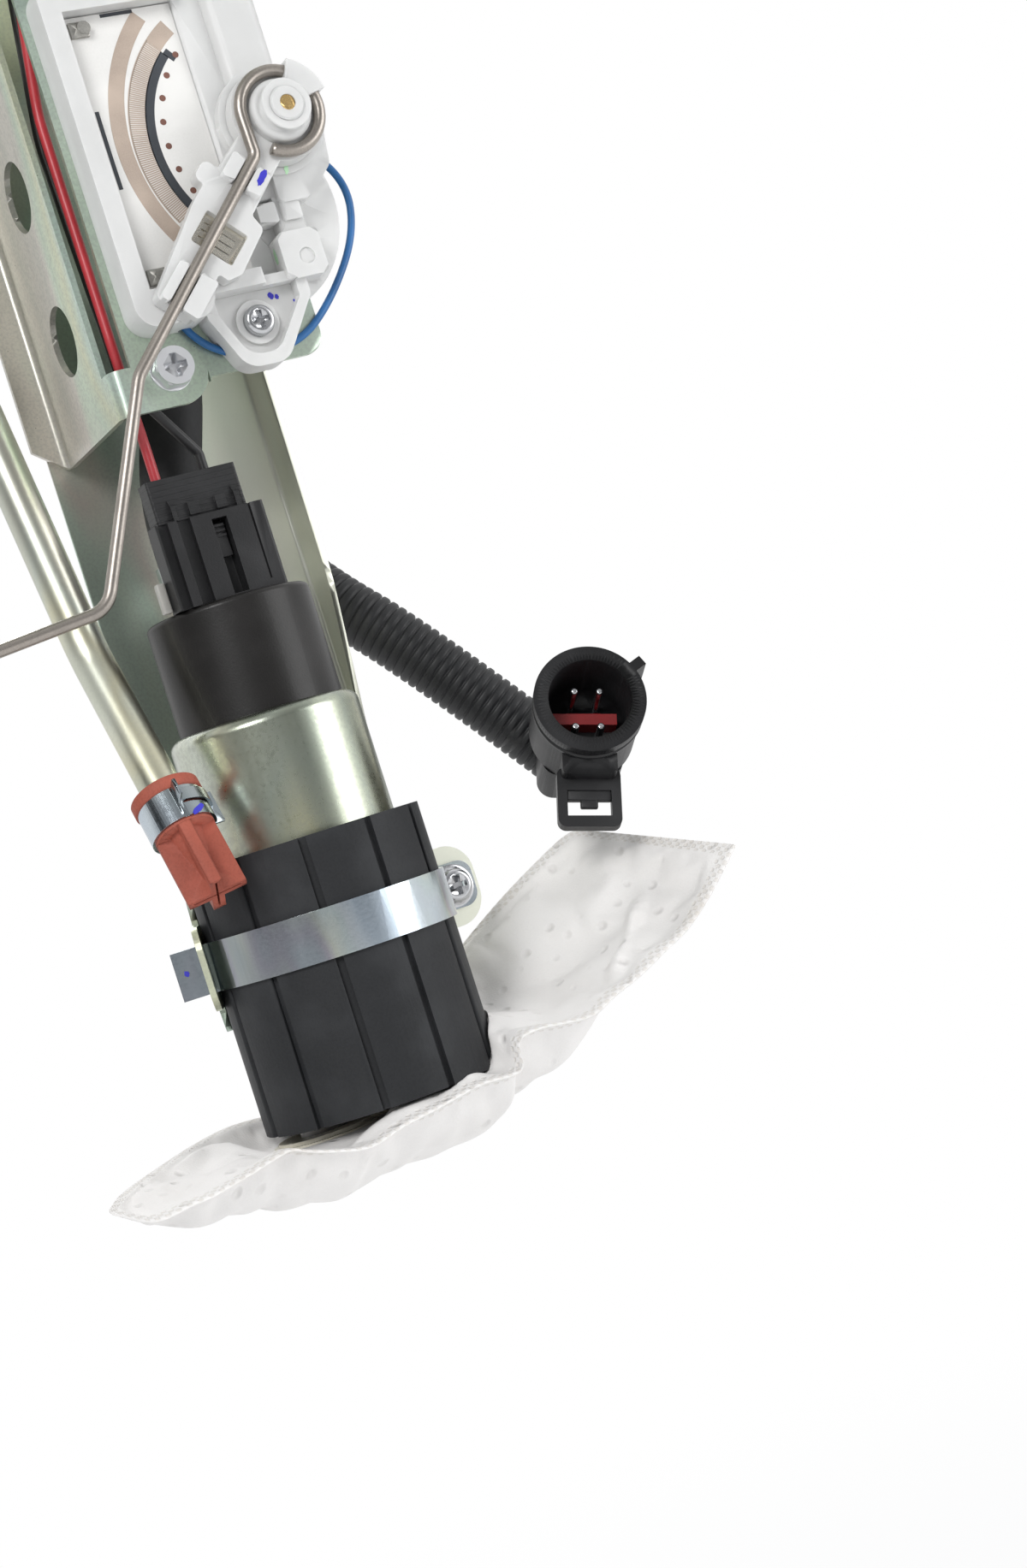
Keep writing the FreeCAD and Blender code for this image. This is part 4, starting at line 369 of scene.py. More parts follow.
@dataclass(frozen=True)
class Moulding:
    """Moulded plastic or rubber with a fine skin."""

    name: str
    colour: Colour
    roughness: float = 0.45
    coat: float = 0.0
    skin: float = 0.0004
    relief: float = 0.00002
    shift: float = 0.12
    edge: float = 0.00010
    specular: float = 0.5
    ridge: float = 0.0

    def material(self) -> bpy.types.Material:
        """Build the material."""
        shader = Shader(self.name)
        fine = shader.noise(self.skin, 3.0)
        broad = shader.noise(0.012, 3.0)
        dusty = tuple(min(1.0, c * (1.0 + 2.5 * self.shift) + 0.006) for c in self.colour)
        worn = tuple(c * (1.0 - self.shift) for c in self.colour)
        colour = shader.mix(broad.step(0.40, 0.75), shader.mix(fine.step(0.4, 0.7), self.colour, worn), dusty)
        surface = {
            "Base Color": colour,
            "Roughness": fine * 0.10 + broad * 0.12 + (self.roughness - 0.11),
            "Coat Weight": self.coat,
            "Specular IOR Level": self.specular,
        }
        height = fine + broad * 0.5
        if self.ridge > 0.0:
            height = height + (shader.axes()[2] * (math.tau / self.ridge)).wave().step(0.2, 0.9) * 4.0
        return shader.finish(surface, height, self.relief, self.edge)


@dataclass(frozen=True)
class Nylon:
    """Natural nylon that lets some light through."""

    name: str = "natural_plastic"
    colour: Colour = (0.68, 0.68, 0.67)
    deep: Colour = (0.62, 0.62, 0.61)
    roughness: float = 0.42
    glow: float = 0.50
    edge: float = 0.00005

    def material(self) -> bpy.types.Material:
        """Build the material."""
        shader = Shader(self.name)
        broad = shader.noise(0.010, 3.0)
        fine = shader.noise(0.0006, 2.0)
        surface = {
            "Base Color": shader.mix(broad.step(0.35, 0.7) * 0.6, self.colour, self.deep),
            "Roughness": fine * 0.12 + (self.roughness - 0.06),
            "Subsurface Weight": self.glow,
            "Subsurface Radius": (1.0, 1.0, 1.0),
            "Subsurface Scale": 0.0016,
        }
        return shader.finish(surface, fine + broad, 0.00001, self.edge)


@dataclass(frozen=True)
class StrainerCloth:
    """Bonded cloth with rows of pressed dimples and a welded border of small squares.

    The pattern follows the bag: the cloth map runs along and across it, and the border map holds the distance
    to the nearest edge.
    """

    name: str = "sock_fabric"
    colour: Colour = (0.87, 0.85, 0.83)
    # This darker tone serves both the random mottle and the painted shade in the dimples.
    hollow: Colour = (0.68, 0.65, 0.62)
    stain: Colour = (0.66, 0.61, 0.54)
    weave: float = 0.00045
    dimple: float = 0.0054
    weld: float = 0.0031
    square: float = 0.0021

    def material(self) -> bpy.types.Material:
        """Build the material."""
        shader = Shader(self.name)
        cloth = shader.node("ShaderNodeUVMap", {"uv_map": "cloth"}).out()
        border = shader.node("ShaderNodeUVMap", {"uv_map": "border"}).out()
        grid = shader.node("ShaderNodeSeparateXYZ", None, {0: cloth})
        threads = {"Vector": cloth, "Scale": 1.0 / self.weave, "Detail": 2.0}
        weave = shader.node("ShaderNodeTexNoise", None, threads).out(0)
        cloud = shader.noise(0.016, 3.0)
        pit = self._dots(shader, cloth)
        parts = shader.node("ShaderNodeSeparateXYZ", None, {0: border})
        away = parts.out(0)
        weld = 1.0 - away.step(self.weld * 0.85, self.weld)
        turn = 2.0 * math.pi / self.square
        squares = ((grid.out(0) * turn).wave() * (grid.out(1) * turn).wave()).step(-0.1, 0.4) * weld
        tone = shader.mix(cloud.step(0.45, 0.75) * 0.22, self.colour, self.hollow)
        # Painted shade: the dimples are darkened in colour on top of their pressed relief; the weave adds a
        # fine mottle.
        tone = shader.mix(pit * 0.25 + weave.step(0.45, 0.75) * 0.10, tone, self.hollow)
        tone = shader.mix(squares * 0.35 + weld * cloud.step(0.5, 0.7) * 0.22, tone, self.stain)
        surface = {"Base Color": tone, "Roughness": 0.82}
        return shader.finish(surface, weave * 0.16 - pit * 1.1 - squares * 0.30, 0.00040)

    def _dots(self, shader: Shader, cloth: Value) -> Value:
        """Round pits in staggered rows, with a little wander."""
        cells = shader.node(
            "ShaderNodeTexVoronoi", {"feature": "F1"},
            {"Vector": cloth, "Scale": 1.0 / self.dimple, "Randomness": 0.35},
        )
        return 1.0 - cells.out("Distance").step(0.03, 0.25)


class Finish(Enum):
    """The finishes of the module, by the record's material slot, and those of single pieces."""

    ZINC_STEEL = PlatedSteel(metal=0.72)
    CHANNEL_STEEL = PlatedSteel(
        "channel_steel", grain_shade=0.20, streak_shade=0.20, patch=0.040, roughness=0.34,
        # Painted highlight on the channel, paler from 4 to 20 mm along x.
        pale_from=0.004, pale_to=0.020, pale_share=0.85, metal=0.72,
        tints=(
            (0.38, 0.47, 0.42), (0.46, 0.57, 0.47), (0.54, 0.62, 0.50), (0.64, 0.66, 0.48),
            (0.56, 0.64, 0.54), (0.58, 0.54, 0.48), (0.54, 0.64, 0.54),
        ),
    )
    CAN_STEEL = PlatedSteel(
        "can_steel", grain_shade=0.28, streak_shade=0.20, patch=0.030, stretch=(1.0, 1.0, 0.22),
        # Broad vertical zones of painted reflection on the can.
        roughness=0.27, grain=0.0009, band=0.016, band_shade=0.70, band_stretch=(1.0, 1.0, 0.12),
        tints=(
            (0.46, 0.52, 0.44), (0.55, 0.60, 0.46), (0.60, 0.64, 0.52), (0.66, 0.66, 0.46),
            (0.58, 0.64, 0.54), (0.62, 0.62, 0.48), (0.62, 0.66, 0.58),
        ),
    )
    STRAP_STEEL = PlatedSteel(
        "strap_steel", grain_shade=0.08, streak_shade=0.03, patch=0.020, stretch=(1.0, 1.0, 0.5),
        # Broad zones of painted reflection on the strap.
        roughness=0.19, band=0.015, band_shade=0.68, band_stretch=(1.0, 1.0, 0.3),
        tints=(
            (0.50, 0.58, 0.66), (0.57, 0.64, 0.70), (0.60, 0.66, 0.70), (0.58, 0.66, 0.66),
            (0.64, 0.67, 0.60), (0.60, 0.55, 0.62), (0.62, 0.68, 0.72),
        ),
    )
    TUBE_STEEL = PlatedSteel(
        "tube_steel", grain_shade=0.10, streak_shade=0.08, patch=0.035, roughness=0.32, relief=FINEST_RELIEF,
        edge=0.0,
        tints=(
            (0.60, 0.64, 0.52), (0.66, 0.70, 0.58), (0.70, 0.72, 0.62), (0.74, 0.72, 0.54),
            (0.66, 0.70, 0.62), (0.70, 0.68, 0.58), (0.70, 0.74, 0.64),
        ),
    )
    BRIGHT_STEEL = BareMetal("bright_steel", (0.62, 0.63, 0.65), 0.22, marks=0.0012, edge=0.0)
    SATIN_STEEL = BareMetal("satin_steel", (0.70, 0.71, 0.73), 0.42, marks=0.003, shade=0.10, edge=0.0)
    WIRE_STEEL = BareMetal("wire_steel", (0.40, 0.365, 0.33), 0.38, shade=0.25)
    HOSE_RUBBER = Moulding(
        "hose_rubber", (0.016, 0.016, 0.017), 0.62, skin=0.0007, relief=0.00005, specular=0.3,
    )
    BLACK_GLOSS = Moulding("black_gloss", (0.0095, 0.0085, 0.0080), 0.40, coat=0.05, specular=0.35)
    BLACK_PLASTIC = Moulding("black_plastic", (0.015, 0.015, 0.016), 0.42, specular=0.4)
    RIDGED_PLASTIC = Moulding("ridged_plastic", (0.015, 0.015, 0.016), 0.42, specular=0.4, ridge=0.0011)
    SOCKET_PLASTIC = Moulding("socket_plastic", (0.009, 0.009, 0.010), 0.46, specular=0.3)
    MOTOR_IRON = BareMetal("motor_iron", (0.24, 0.22, 0.20), 0.55)
    COPPER = BareMetal("copper", (0.72, 0.38, 0.22), 0.35)
    CARBON = Moulding("carbon", (0.04, 0.04, 0.04), 0.6)
    FERRITE = Moulding("ferrite", (0.08, 0.08, 0.085), 0.6)
    BEARING_ALLOY = BareMetal("bearing_alloy", (0.62, 0.62, 0.63), 0.4)
    SLEEVE_RUBBER = Moulding(
        "sleeve_rubber", (0.017, 0.018, 0.020), 0.58, skin=0.0005, relief=0.00003, specular=0.3,
    )
    RED_INSULATION = Moulding("red_insulation", (0.43, 0.030, 0.040), 0.38, coat=0.1)
    BLACK_INSULATION = Moulding("black_insulation", (0.012, 0.012, 0.013), 0.42)
    BLUE_INSULATION = Moulding("blue_insulation", (0.016, 0.115, 0.31), 0.38)
    NATURAL_PLASTIC = Nylon()
    TAB_PLASTIC = Nylon("tab_plastic", (0.42, 0.41, 0.38), (0.33, 0.32, 0.30))
    WHITE_PLASTIC = Nylon("white_plastic", (0.74, 0.70, 0.58), (0.62, 0.58, 0.46))
    CERAMIC = Moulding("ceramic", (0.75, 0.74, 0.715), 0.50, shift=0.03, edge=0.0)
    CONTACT_ALLOY = BareMetal("contact_alloy", (0.86, 0.82, 0.72), 0.24, edge=0.0)
    BRASS = BareMetal("brass", (0.80, 0.56, 0.24), 0.26)
    FLOAT_FOAM = Moulding("float_foam", (0.022, 0.022, 0.023), 0.8, skin=0.0012, relief=0.00015, specular=0.3)
    VALVE_RUBBER = Moulding("valve_rubber", (0.34, 0.085, 0.055), 0.60, shift=0.14, specular=0.3)
    SOCK_FABRIC = StrainerCloth()
    LOCK_PLASTIC = Moulding("lock_plastic", (0.26, 0.012, 0.014), 0.38)
    CONDUIT_PLASTIC = Moulding(
        "conduit_plastic", (0.012, 0.0125, 0.014), 0.48, edge=0.0, specular=0.40, shift=0.05, relief=0.000004,
    )
    PRINT_TAUPE = Moulding("print_taupe", (0.42, 0.34, 0.28), 0.55, skin=0.0002, shift=0.10, edge=0.0)
    PRINT_DARK = Moulding("print_dark", (0.035, 0.040, 0.048), 0.50, edge=0.0)
    PRINT_BROWN = Moulding("print_brown", (0.16, 0.07, 0.05), 0.45, edge=0.0)
    SOLDER = BareMetal("solder", (0.46, 0.45, 0.42), 0.45, shade=0.3, edge=0.0)
    INK_BLUE = Moulding("ink_blue", (0.030, 0.028, 0.46), 0.45, edge=0.0)
    INK_GREEN = Moulding("ink_green", (0.42, 0.66, 0.42), 0.5, edge=0.0)

    def made(self) -> bpy.types.Material:
        """Return the material, built on first use."""
        return bpy.data.materials.get(finish_name(self.value.name)) or self.value.material()


@dataclass
class Frame:
    """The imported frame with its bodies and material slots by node."""

    nodes: dict[str, bpy.types.Object]
    bodies: dict[str, str] = field(default_factory=dict)
    slots: dict[str, str] = field(default_factory=dict)

    @classmethod
    def load(cls) -> "Frame":
        """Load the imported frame."""
        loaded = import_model()
        record = loaded["record"]
        bodies = {node: body for body, names in record["behaviour"]["bodies"].items() for node in names}
        slots = {entry["node"]: entry["material_slot"] for entry in record["subparts"]}
        return cls(loaded["nodes"], bodies, slots)

    def finish_of(self, node: str) -> Finish:
        """Finish that the record gives a node."""
        return Finish[self.slots[node].upper()]

    def stand_for(self, piece: bpy.types.Object, node: str) -> bpy.types.Object:
        """Let a piece take a node's place.

        Args:
            piece: the piece.
            node: the node that it replaces.

        Returns:
            The piece.
        """
        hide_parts(node)
        return self.carry(piece, node)

    def carry(self, piece: bpy.types.Object, node: str) -> bpy.types.Object:
        """Let a piece ride with a node.

        Args:
            piece: the piece.
            node: the node that it belongs to.

        Returns:
            The piece.
        """
        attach(piece, self.bodies[node])
        LOG.info("%s rides on %s", piece.name, self.bodies[node])
        return piece

    def span(self, node: str) -> tuple[Vector, Vector]:
        """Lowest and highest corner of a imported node."""
        spots = [vertex.co for vertex in self.nodes[node].data.vertices]
        low = Vector([min(spot[i] for spot in spots) for i in range(3)])
        return low, Vector([max(spot[i] for spot in spots) for i in range(3)])

    def dress(self, node: str, finish: Finish | None = None, angle: float = SMOOTH_ANGLE) -> bpy.types.Object:
        """Replace a node by a smooth copy with its finish.

        Args:
            node: the node.
            finish: its finish, where it isn't the record's.
            angle: the widest angle between faces that is shaded smooth.

        Returns:
            The new piece.
        """
        mesh = merged_copy(self.nodes[node], angle)
        return self.stand_for(piece_of(mesh, node + "_look", finish or self.finish_of(node)), node)


def merged_copy(source: bpy.types.Object, angle: float) -> bpy.types.Mesh:
    """Copy a node's mesh with its corners joined and its round faces smooth.

    Args:
        source: the node's object.
        angle: the widest angle that is shaded smooth.

    Returns:
        The new mesh.
    """
    mesh = source.data.copy()
    work = bmesh.new()
    work.from_mesh(mesh)
    bmesh.ops.remove_doubles(work, verts=work.verts, dist=SAME_CORNER)
    work.to_mesh(mesh)
    work.free()
    mesh.materials.clear()
    return weighted(shaded(mesh, angle))


def shaded(mesh: bpy.types.Mesh, angle: float = SMOOTH_ANGLE) -> bpy.types.Mesh:
    """Shade a mesh smooth up to an angle."""
    if "sharp_face" in mesh.attributes:
        mesh.attributes.remove(mesh.attributes["sharp_face"])
    mesh.shade_smooth()
    mesh.set_sharp_from_angle(angle=angle)
    return mesh


def weighted(mesh: bpy.types.Mesh) -> bpy.types.Mesh:
    """Let large flat faces keep their own normal beside small rounded ones."""
    holder = bpy.data.objects.new(mesh.name, mesh)
    bpy.context.scene.collection.objects.link(holder)
    modifier = holder.modifiers.new("normals", "WEIGHTED_NORMAL")
    modifier.keep_sharp = True
    return frozen(holder, mesh.name)


def piece_of(mesh: bpy.types.Mesh, name: str, finish: Finish) -> bpy.types.Object:
    """Link a mesh as a piece with one finish.

    Args:
        mesh: the mesh.
        name: the piece's name.
        finish: its finish.

    Returns:
        The object.
    """
    mesh.name = name
    piece = bpy.data.objects.new(name, mesh)
    bpy.context.scene.collection.objects.link(piece)
    mesh.materials.clear()
    mesh.materials.append(finish.made())
    return piece


def mesh_from(points: Sequence[Vector], faces: Sequence[Sequence[int]], name: str) -> bpy.types.Mesh:
    """Make a mesh whose faces point outwards.

    Args:
        points: the corners.
        faces: the corners of each face.
        name: the mesh's name.

    Returns:
        The mesh.
    """
    mesh = bpy.data.meshes.new(name)
    mesh.from_pydata([tuple(p) for p in points], [], faces)
    work = bmesh.new()
    work.from_mesh(mesh)
    bmesh.ops.remove_doubles(work, verts=work.verts, dist=SAME_POINT)
    bmesh.ops.recalc_face_normals(work, faces=work.faces)
    work.to_mesh(mesh)
    work.free()
    return mesh


def rounded_box(low: Sequence[float], high: Sequence[float], edge: float, name: str,
                turn: Matrix | None = None) -> bpy.types.Mesh:
    """A box with rounded edges.

    Args:
        low: its lowest corner in millimetres.
        high: its highest corner in millimetres.
        edge: the radius of its edges in millimetres.
        name: the mesh's name.
        turn: where the box is placed, if not in the module's own axes.

    Returns:
        The mesh in metres.
    """
    work = bmesh.new()
    bmesh.ops.create_cube(work, size=1.0)
    for vertex in work.verts:
        vertex.co = Vector([low[i] + (high[i] - low[i]) * (vertex.co[i] + 0.5) for i in range(3)])
    bmesh.ops.bevel(work, geom=list(work.edges), offset=edge, segments=3, profile=0.5, affect="EDGES")
    for vertex in work.verts:
        vertex.co = (turn @ vertex.co if turn else vertex.co) * MM
    bmesh.ops.recalc_face_normals(work, faces=work.faces)
    mesh = bpy.data.meshes.new(name)
    work.to_mesh(mesh)
    work.free()
    return shaded(mesh)


def turned_ring(inner: float, outer: float, low: float, high: float, name: str,
                turn: Matrix) -> bpy.types.Mesh:
    """A ring with soft edges around the third axis of a frame.

    Args:
        inner: its inner radius in millimetres.
        outer: its outer radius in millimetres.
        low: where it starts along the axis.
        high: where it ends.
        name: the mesh's name.
        turn: the frame that it is placed in.

    Returns:
        The mesh in metres.
    """
    soft = min(RING_EDGE, (high - low) * 0.4)
    profile = [
        (inner, low), (outer - soft, low), (outer, low + soft), (outer, high - soft), (outer - soft, high),
        (inner, high),
    ]
    points = []
    for i in range(RING_SIDES):
        angle = math.tau * i / RING_SIDES
        points += [turn @ Vector((r * math.cos(angle), r * math.sin(angle), z)) * MM for r, z in profile]
    count = len(profile)
    faces = []
    for i in range(RING_SIDES):
        here, there = i * count, (i + 1) % RING_SIDES * count
        for j in range(count):
            k = (j + 1) % count
            faces.append((here + j, here + k, there + k, there + j))
    return shaded(mesh_from(points, faces, name))


class Builder:
    """A geometry tree with named inputs whose result becomes a plain mesh."""

    name = "builder"
    inputs: tuple[tuple[str, str], ...] = ()

    def __init__(self) -> None:
        """Build the tree."""
        self.group = bpy.data.node_groups.new(self.name, "GeometryNodeTree")
        self.tree = NodeTree(self.group)
        self.group.interface.new_socket("Geometry", in_out="OUTPUT", socket_type="NodeSocketGeometry")
        self.group.interface.new_socket("Path", in_out="INPUT", socket_type="NodeSocketGeometry")
        for label, kind in (*self.inputs, ("Finish", "NodeSocketMaterial")):
            self.group.interface.new_socket(label, in_out="INPUT", socket_type=kind)
        entry = self.tree.node("NodeGroupInput")
        real = self.tree.node("GeometryNodeRealizeInstances", None, {"Geometry": self.shape(entry)})
        dressed = self.tree.node("GeometryNodeSetMaterial", None, {
            "Geometry": real.out(), "Material": entry.out("Finish"),
        })
        self.tree.node("NodeGroupOutput", None, {0: dressed.out()})

    def shape(self, entry: Node) -> Value:
        """Make the geometry from the inputs."""
        return entry.out("Path")

    def vector(self, x: object, y: object, z: object) -> Value:
        """Join three values."""
        return self.tree.node("ShaderNodeCombineXYZ", None, {0: x, 1: y, 2: z}).out()

    def mesh(self, name: str, values: dict[str, object],
             base: bpy.types.Object | None = None) -> bpy.types.Mesh:
        """Run the tree.

        Args:
            name: the mesh's name.
            values: the tree's inputs by name.
            base: the object that the tree works on, which is removed.

        Returns:
            The plain mesh.
        """
        if base is None:
            base = bpy.data.objects.new(name, bpy.data.meshes.new(name))
            bpy.context.scene.collection.objects.link(base)
        modifier = base.modifiers.new("shape", "NODES")
        modifier.node_group = self.group
        for item in self.group.interface.items_tree:
            if item.in_out == "INPUT" and item.name in values:
                modifier[item.identifier] = values[item.name]
        return frozen(base, name)


class PrintedArc(Builder):
    """A thin flat band along an arc, as printed on the card."""

    name = "printed_arc"
    inputs = (
        ("Centre X", "NodeSocketFloat"), ("Centre Z", "NodeSocketFloat"), ("Inner", "NodeSocketFloat"),
        ("Outer", "NodeSocketFloat"), ("Start", "NodeSocketFloat"), ("Stop", "NodeSocketFloat"),
        ("Face", "NodeSocketFloat"), ("Ink", "NodeSocketFloat"), ("Segments", "NodeSocketInt"),
    )

    def shape(self, entry: Node) -> Value:
        """Bend a flat box of many lengths into the arc."""
        box = self.tree.node("GeometryNodeMeshCube", None, {
            "Size": (1.0, 1.0, 1.0), "Vertices X": entry.out("Segments"), "Vertices Y": 2, "Vertices Z": 2,
        }).out()
        corner = self.tree.node("GeometryNodeInputPosition").out()
        spot = self.tree.node("ShaderNodeSeparateXYZ", None, {0: corner})
        turn = entry.out("Start") + (spot.out(0) + 0.5) * (entry.out("Stop") - entry.out("Start"))
        reach = entry.out("Inner") + (spot.out(2) + 0.5) * (entry.out("Outer") - entry.out("Inner"))
        angle = turn * (math.pi / 180.0)
        cosine = self.tree.node("ShaderNodeMath", {"operation": "COSINE"}, {0: angle}).out()
        across = entry.out("Centre X") + reach * cosine
        rise = entry.out("Centre Z") + reach * angle.wave()
        out = entry.out("Face") + (spot.out(1) - 0.5) * entry.out("Ink")
        placed = self.tree.node("GeometryNodeSetPosition", None, {
            "Geometry": box, "Position": self.vector(across, out, rise),
        })
        return placed.out()


class RadialLines(Builder):
    """Short thin lines that stand like the teeth of a comb along an arc."""

    name = "radial_lines"
    inputs = (
        ("Centre X", "NodeSocketFloat"), ("Centre Z", "NodeSocketFloat"), ("Inner", "NodeSocketFloat"),
        ("Outer", "NodeSocketFloat"), ("Start", "NodeSocketFloat"), ("Stop", "NodeSocketFloat"),
        ("Face", "NodeSocketFloat"), ("Ink", "NodeSocketFloat"), ("Width", "NodeSocketFloat"),
        ("Lines", "NodeSocketInt"),
    )

    def shape(self, entry: Node) -> Value:
        """Set one thin box at each step of the arc."""
        row = self.tree.node("GeometryNodeMeshLine", None, {"Count": entry.out("Lines")}).out()
        index = self.tree.node("GeometryNodeInputIndex").out()
        step = (entry.out("Stop") - entry.out("Start")) / (entry.out("Lines") - 1.0)
        angle = (entry.out("Start") + index * step) * (math.pi / 180.0)
        reach = (entry.out("Inner") + entry.out("Outer")) * 0.5
        cosine = self.tree.node("ShaderNodeMath", {"operation": "COSINE"}, {0: angle}).out()
        spot = self.vector(
            entry.out("Centre X") + reach * cosine, entry.out("Face") - entry.out("Ink") * 0.5,
            entry.out("Centre Z") + reach * angle.wave(),
        )
        spread = self.tree.node("GeometryNodeSetPosition", None, {"Geometry": row, "Position": spot}).out()
        size = self.vector(entry.out("Outer") - entry.out("Inner"), entry.out("Ink"), entry.out("Width"))
        tooth = self.tree.node("GeometryNodeMeshCube", None, {"Size": size}).out()
        return self.tree.node("GeometryNodeInstanceOnPoints", None, {
            "Points": spread, "Instance": tooth, "Rotation": self.vector(0.0, angle * -1.0, 0.0),
        }).out()


class RoundPads(Builder):
    """Small flat round pads along an arc."""

    name = "round_pads"
    inputs = (
        ("Centre X", "NodeSocketFloat"), ("Centre Z", "NodeSocketFloat"), ("Reach", "NodeSocketFloat"),
        ("Start", "NodeSocketFloat"), ("Stop", "NodeSocketFloat"), ("Face", "NodeSocketFloat"),
        ("Ink", "NodeSocketFloat"), ("Radius", "NodeSocketFloat"), ("Pads", "NodeSocketInt"),
    )

    def shape(self, entry: Node) -> Value:
        """Set one disc at each step of the arc."""
        row = self.tree.node("GeometryNodeMeshLine", None, {"Count": entry.out("Pads")}).out()
        index = self.tree.node("GeometryNodeInputIndex").out()
        step = (entry.out("Stop") - entry.out("Start")) / (entry.out("Pads") - 1.0)
        angle = (entry.out("Start") + index * step) * (math.pi / 180.0)
        cosine = self.tree.node("ShaderNodeMath", {"operation": "COSINE"}, {0: angle}).out()
        spot = self.vector(
            entry.out("Centre X") + entry.out("Reach") * cosine, entry.out("Face") - entry.out("Ink") * 0.5,
            entry.out("Centre Z") + entry.out("Reach") * angle.wave(),
        )
        spread = self.tree.node("GeometryNodeSetPosition", None, {"Geometry": row, "Position": spot}).out()
        disc = self.tree.node("GeometryNodeMeshCylinder", None, {
            "Vertices": 20, "Radius": entry.out("Radius"), "Depth": entry.out("Ink"),
        }).out()
        return self.tree.node("GeometryNodeInstanceOnPoints", None, {
            "Points": spread, "Instance": disc, "Rotation": (math.pi / 2.0, 0.0, 0.0),
        }).out()


class PathTube(Builder):
    """A tube along a curve whose radius follows a wave."""

    name = "path_tube"
    inputs = (
        ("Wall Radius", "NodeSocketFloat"), ("Groove Depth", "NodeSocketFloat"), ("Pitch", "NodeSocketFloat"),
        ("Crest", "NodeSocketFloat"), ("Samples", "NodeSocketInt"), ("Sides", "NodeSocketInt"),
    )

    def shape(self, entry: Node) -> Value:
        """Sweep a circle whose size follows the rings."""
        dense = self.tree.node("GeometryNodeResampleCurve", None, {
            "Curve": entry.out("Path"), "Count": entry.out("Samples"),
        })
        profile = self.tree.node("GeometryNodeCurvePrimitiveCircle", None, {
            "Resolution": entry.out("Sides"), "Radius": 1.0,
        })
        sized = self.tree.node("GeometryNodeSetCurveRadius", None, {
            "Curve": dense.out(), "Radius": self._radius(entry),
        })
        swept = self.tree.node("GeometryNodeCurveToMesh", None, {
            "Curve": sized.out(), "Profile Curve": profile.out(), "Fill Caps": True,
        })
        if "Scale" in swept.node.inputs:
            radius = self.tree.node("GeometryNodeInputRadius").out()
            self.group.links.new(radius.socket, swept.node.inputs["Scale"])
        return self.tree.node("GeometryNodeSetShadeSmooth", None, {"Geometry": swept.out()}).out()

    def _radius(self, entry: Node) -> Value:
        """Radius at each point: a broad round crest and a narrow groove in each pitch."""
        along = self.tree.node("GeometryNodeSplineParameter").out("Length")
        turn = along / entry.out("Pitch")
        phase = self.tree.node("ShaderNodeMath", {"operation": "PINGPONG"}, {0: turn, 1: 0.5}).out() * 2.0
        inside = phase / entry.out("Crest")
        cut = 1.0 - inside.step(0.0, 1.0)
        bulge = (1.0 - phase) * (1.0 - phase) * 0.22
        return entry.out("Wall Radius") - entry.out("Groove Depth") * (cut + bulge)


def frozen(source: bpy.types.Object, name: str) -> bpy.types.Mesh:
    """Turn an object with modifiers into a plain mesh and remove the object.

    Args:
        source: the object.
        name: the mesh's name.

    Returns:
        The mesh.
    """
    graph = bpy.context.evaluated_depsgraph_get()
    mesh = bpy.data.meshes.new_from_object(source.evaluated_get(graph))
    mesh.name = name
    bpy.data.objects.remove(source, do_unlink=True)
    return mesh


def smooth_path(points: Sequence[Vector], name: str) -> bpy.types.Object:
    """One open curve that rounds off its points.

    Args:
        points: the route's points in metres.
        name: the curve's name.

    Returns:
        The curve object.
    """
    curve = bpy.data.curves.new(name, "CURVE")
    curve.dimensions = "3D"
    curve.resolution_u = 24
    spline = curve.splines.new("NURBS")
    spline.points.add(len(points) - 1)
    for place, point in zip(spline.points, points):
        place.co = (*point, 1.0)
    spline.order_u = 3
    spline.use_endpoint_u = True
    path = bpy.data.objects.new(name, curve)
    bpy.context.scene.collection.objects.link(path)
    return path


def millimetres(points: Sequence[Sequence[float]]) -> list[Vector]:
    """Turn places in millimetres into vectors in metres."""
    return [Vector(point) * MM for point in points]


def smooth_points(points: Sequence[Vector], steps: int = 16) -> list[Vector]:
    """Points on the curve that rounds off a route.

    Args:
        points: the route's points.
        steps: points for each stretch.

    Returns:
        Points from the first to the last.
    """
    middles = [(a + b) / 2 for a, b in zip(points[1:-2], points[2:-1])]
    knots = [points[0], *middles, points[-1]]
    found = []
    for start, corner, stop in zip(knots, points[1:-1], knots[1:]):
        for i in range(steps):
            t = i / steps
            found.append(start * (1 - t) ** 2 + corner * 2 * t * (1 - t) + stop * t * t)
    return found + [points[-1]]


def ease(share: float) -> float:
    """Ease from 0 to 1, clamped at both ends."""
    share = max(0.0, min(1.0, share))
    return share * share * (3.0 - 2.0 * share)


def along_table(table: Sequence[tuple[float, float]], place: float) -> float:
    """Value of a short table at a place, in straight lines between its rows."""
    if place <= table[0][0]:
        return table[0][1]
    for (a, low), (b, high) in zip(table, table[1:]):
        if place <= b:
            return low + (high - low) * (place - a) / (b - a)
    return table[-1][1]


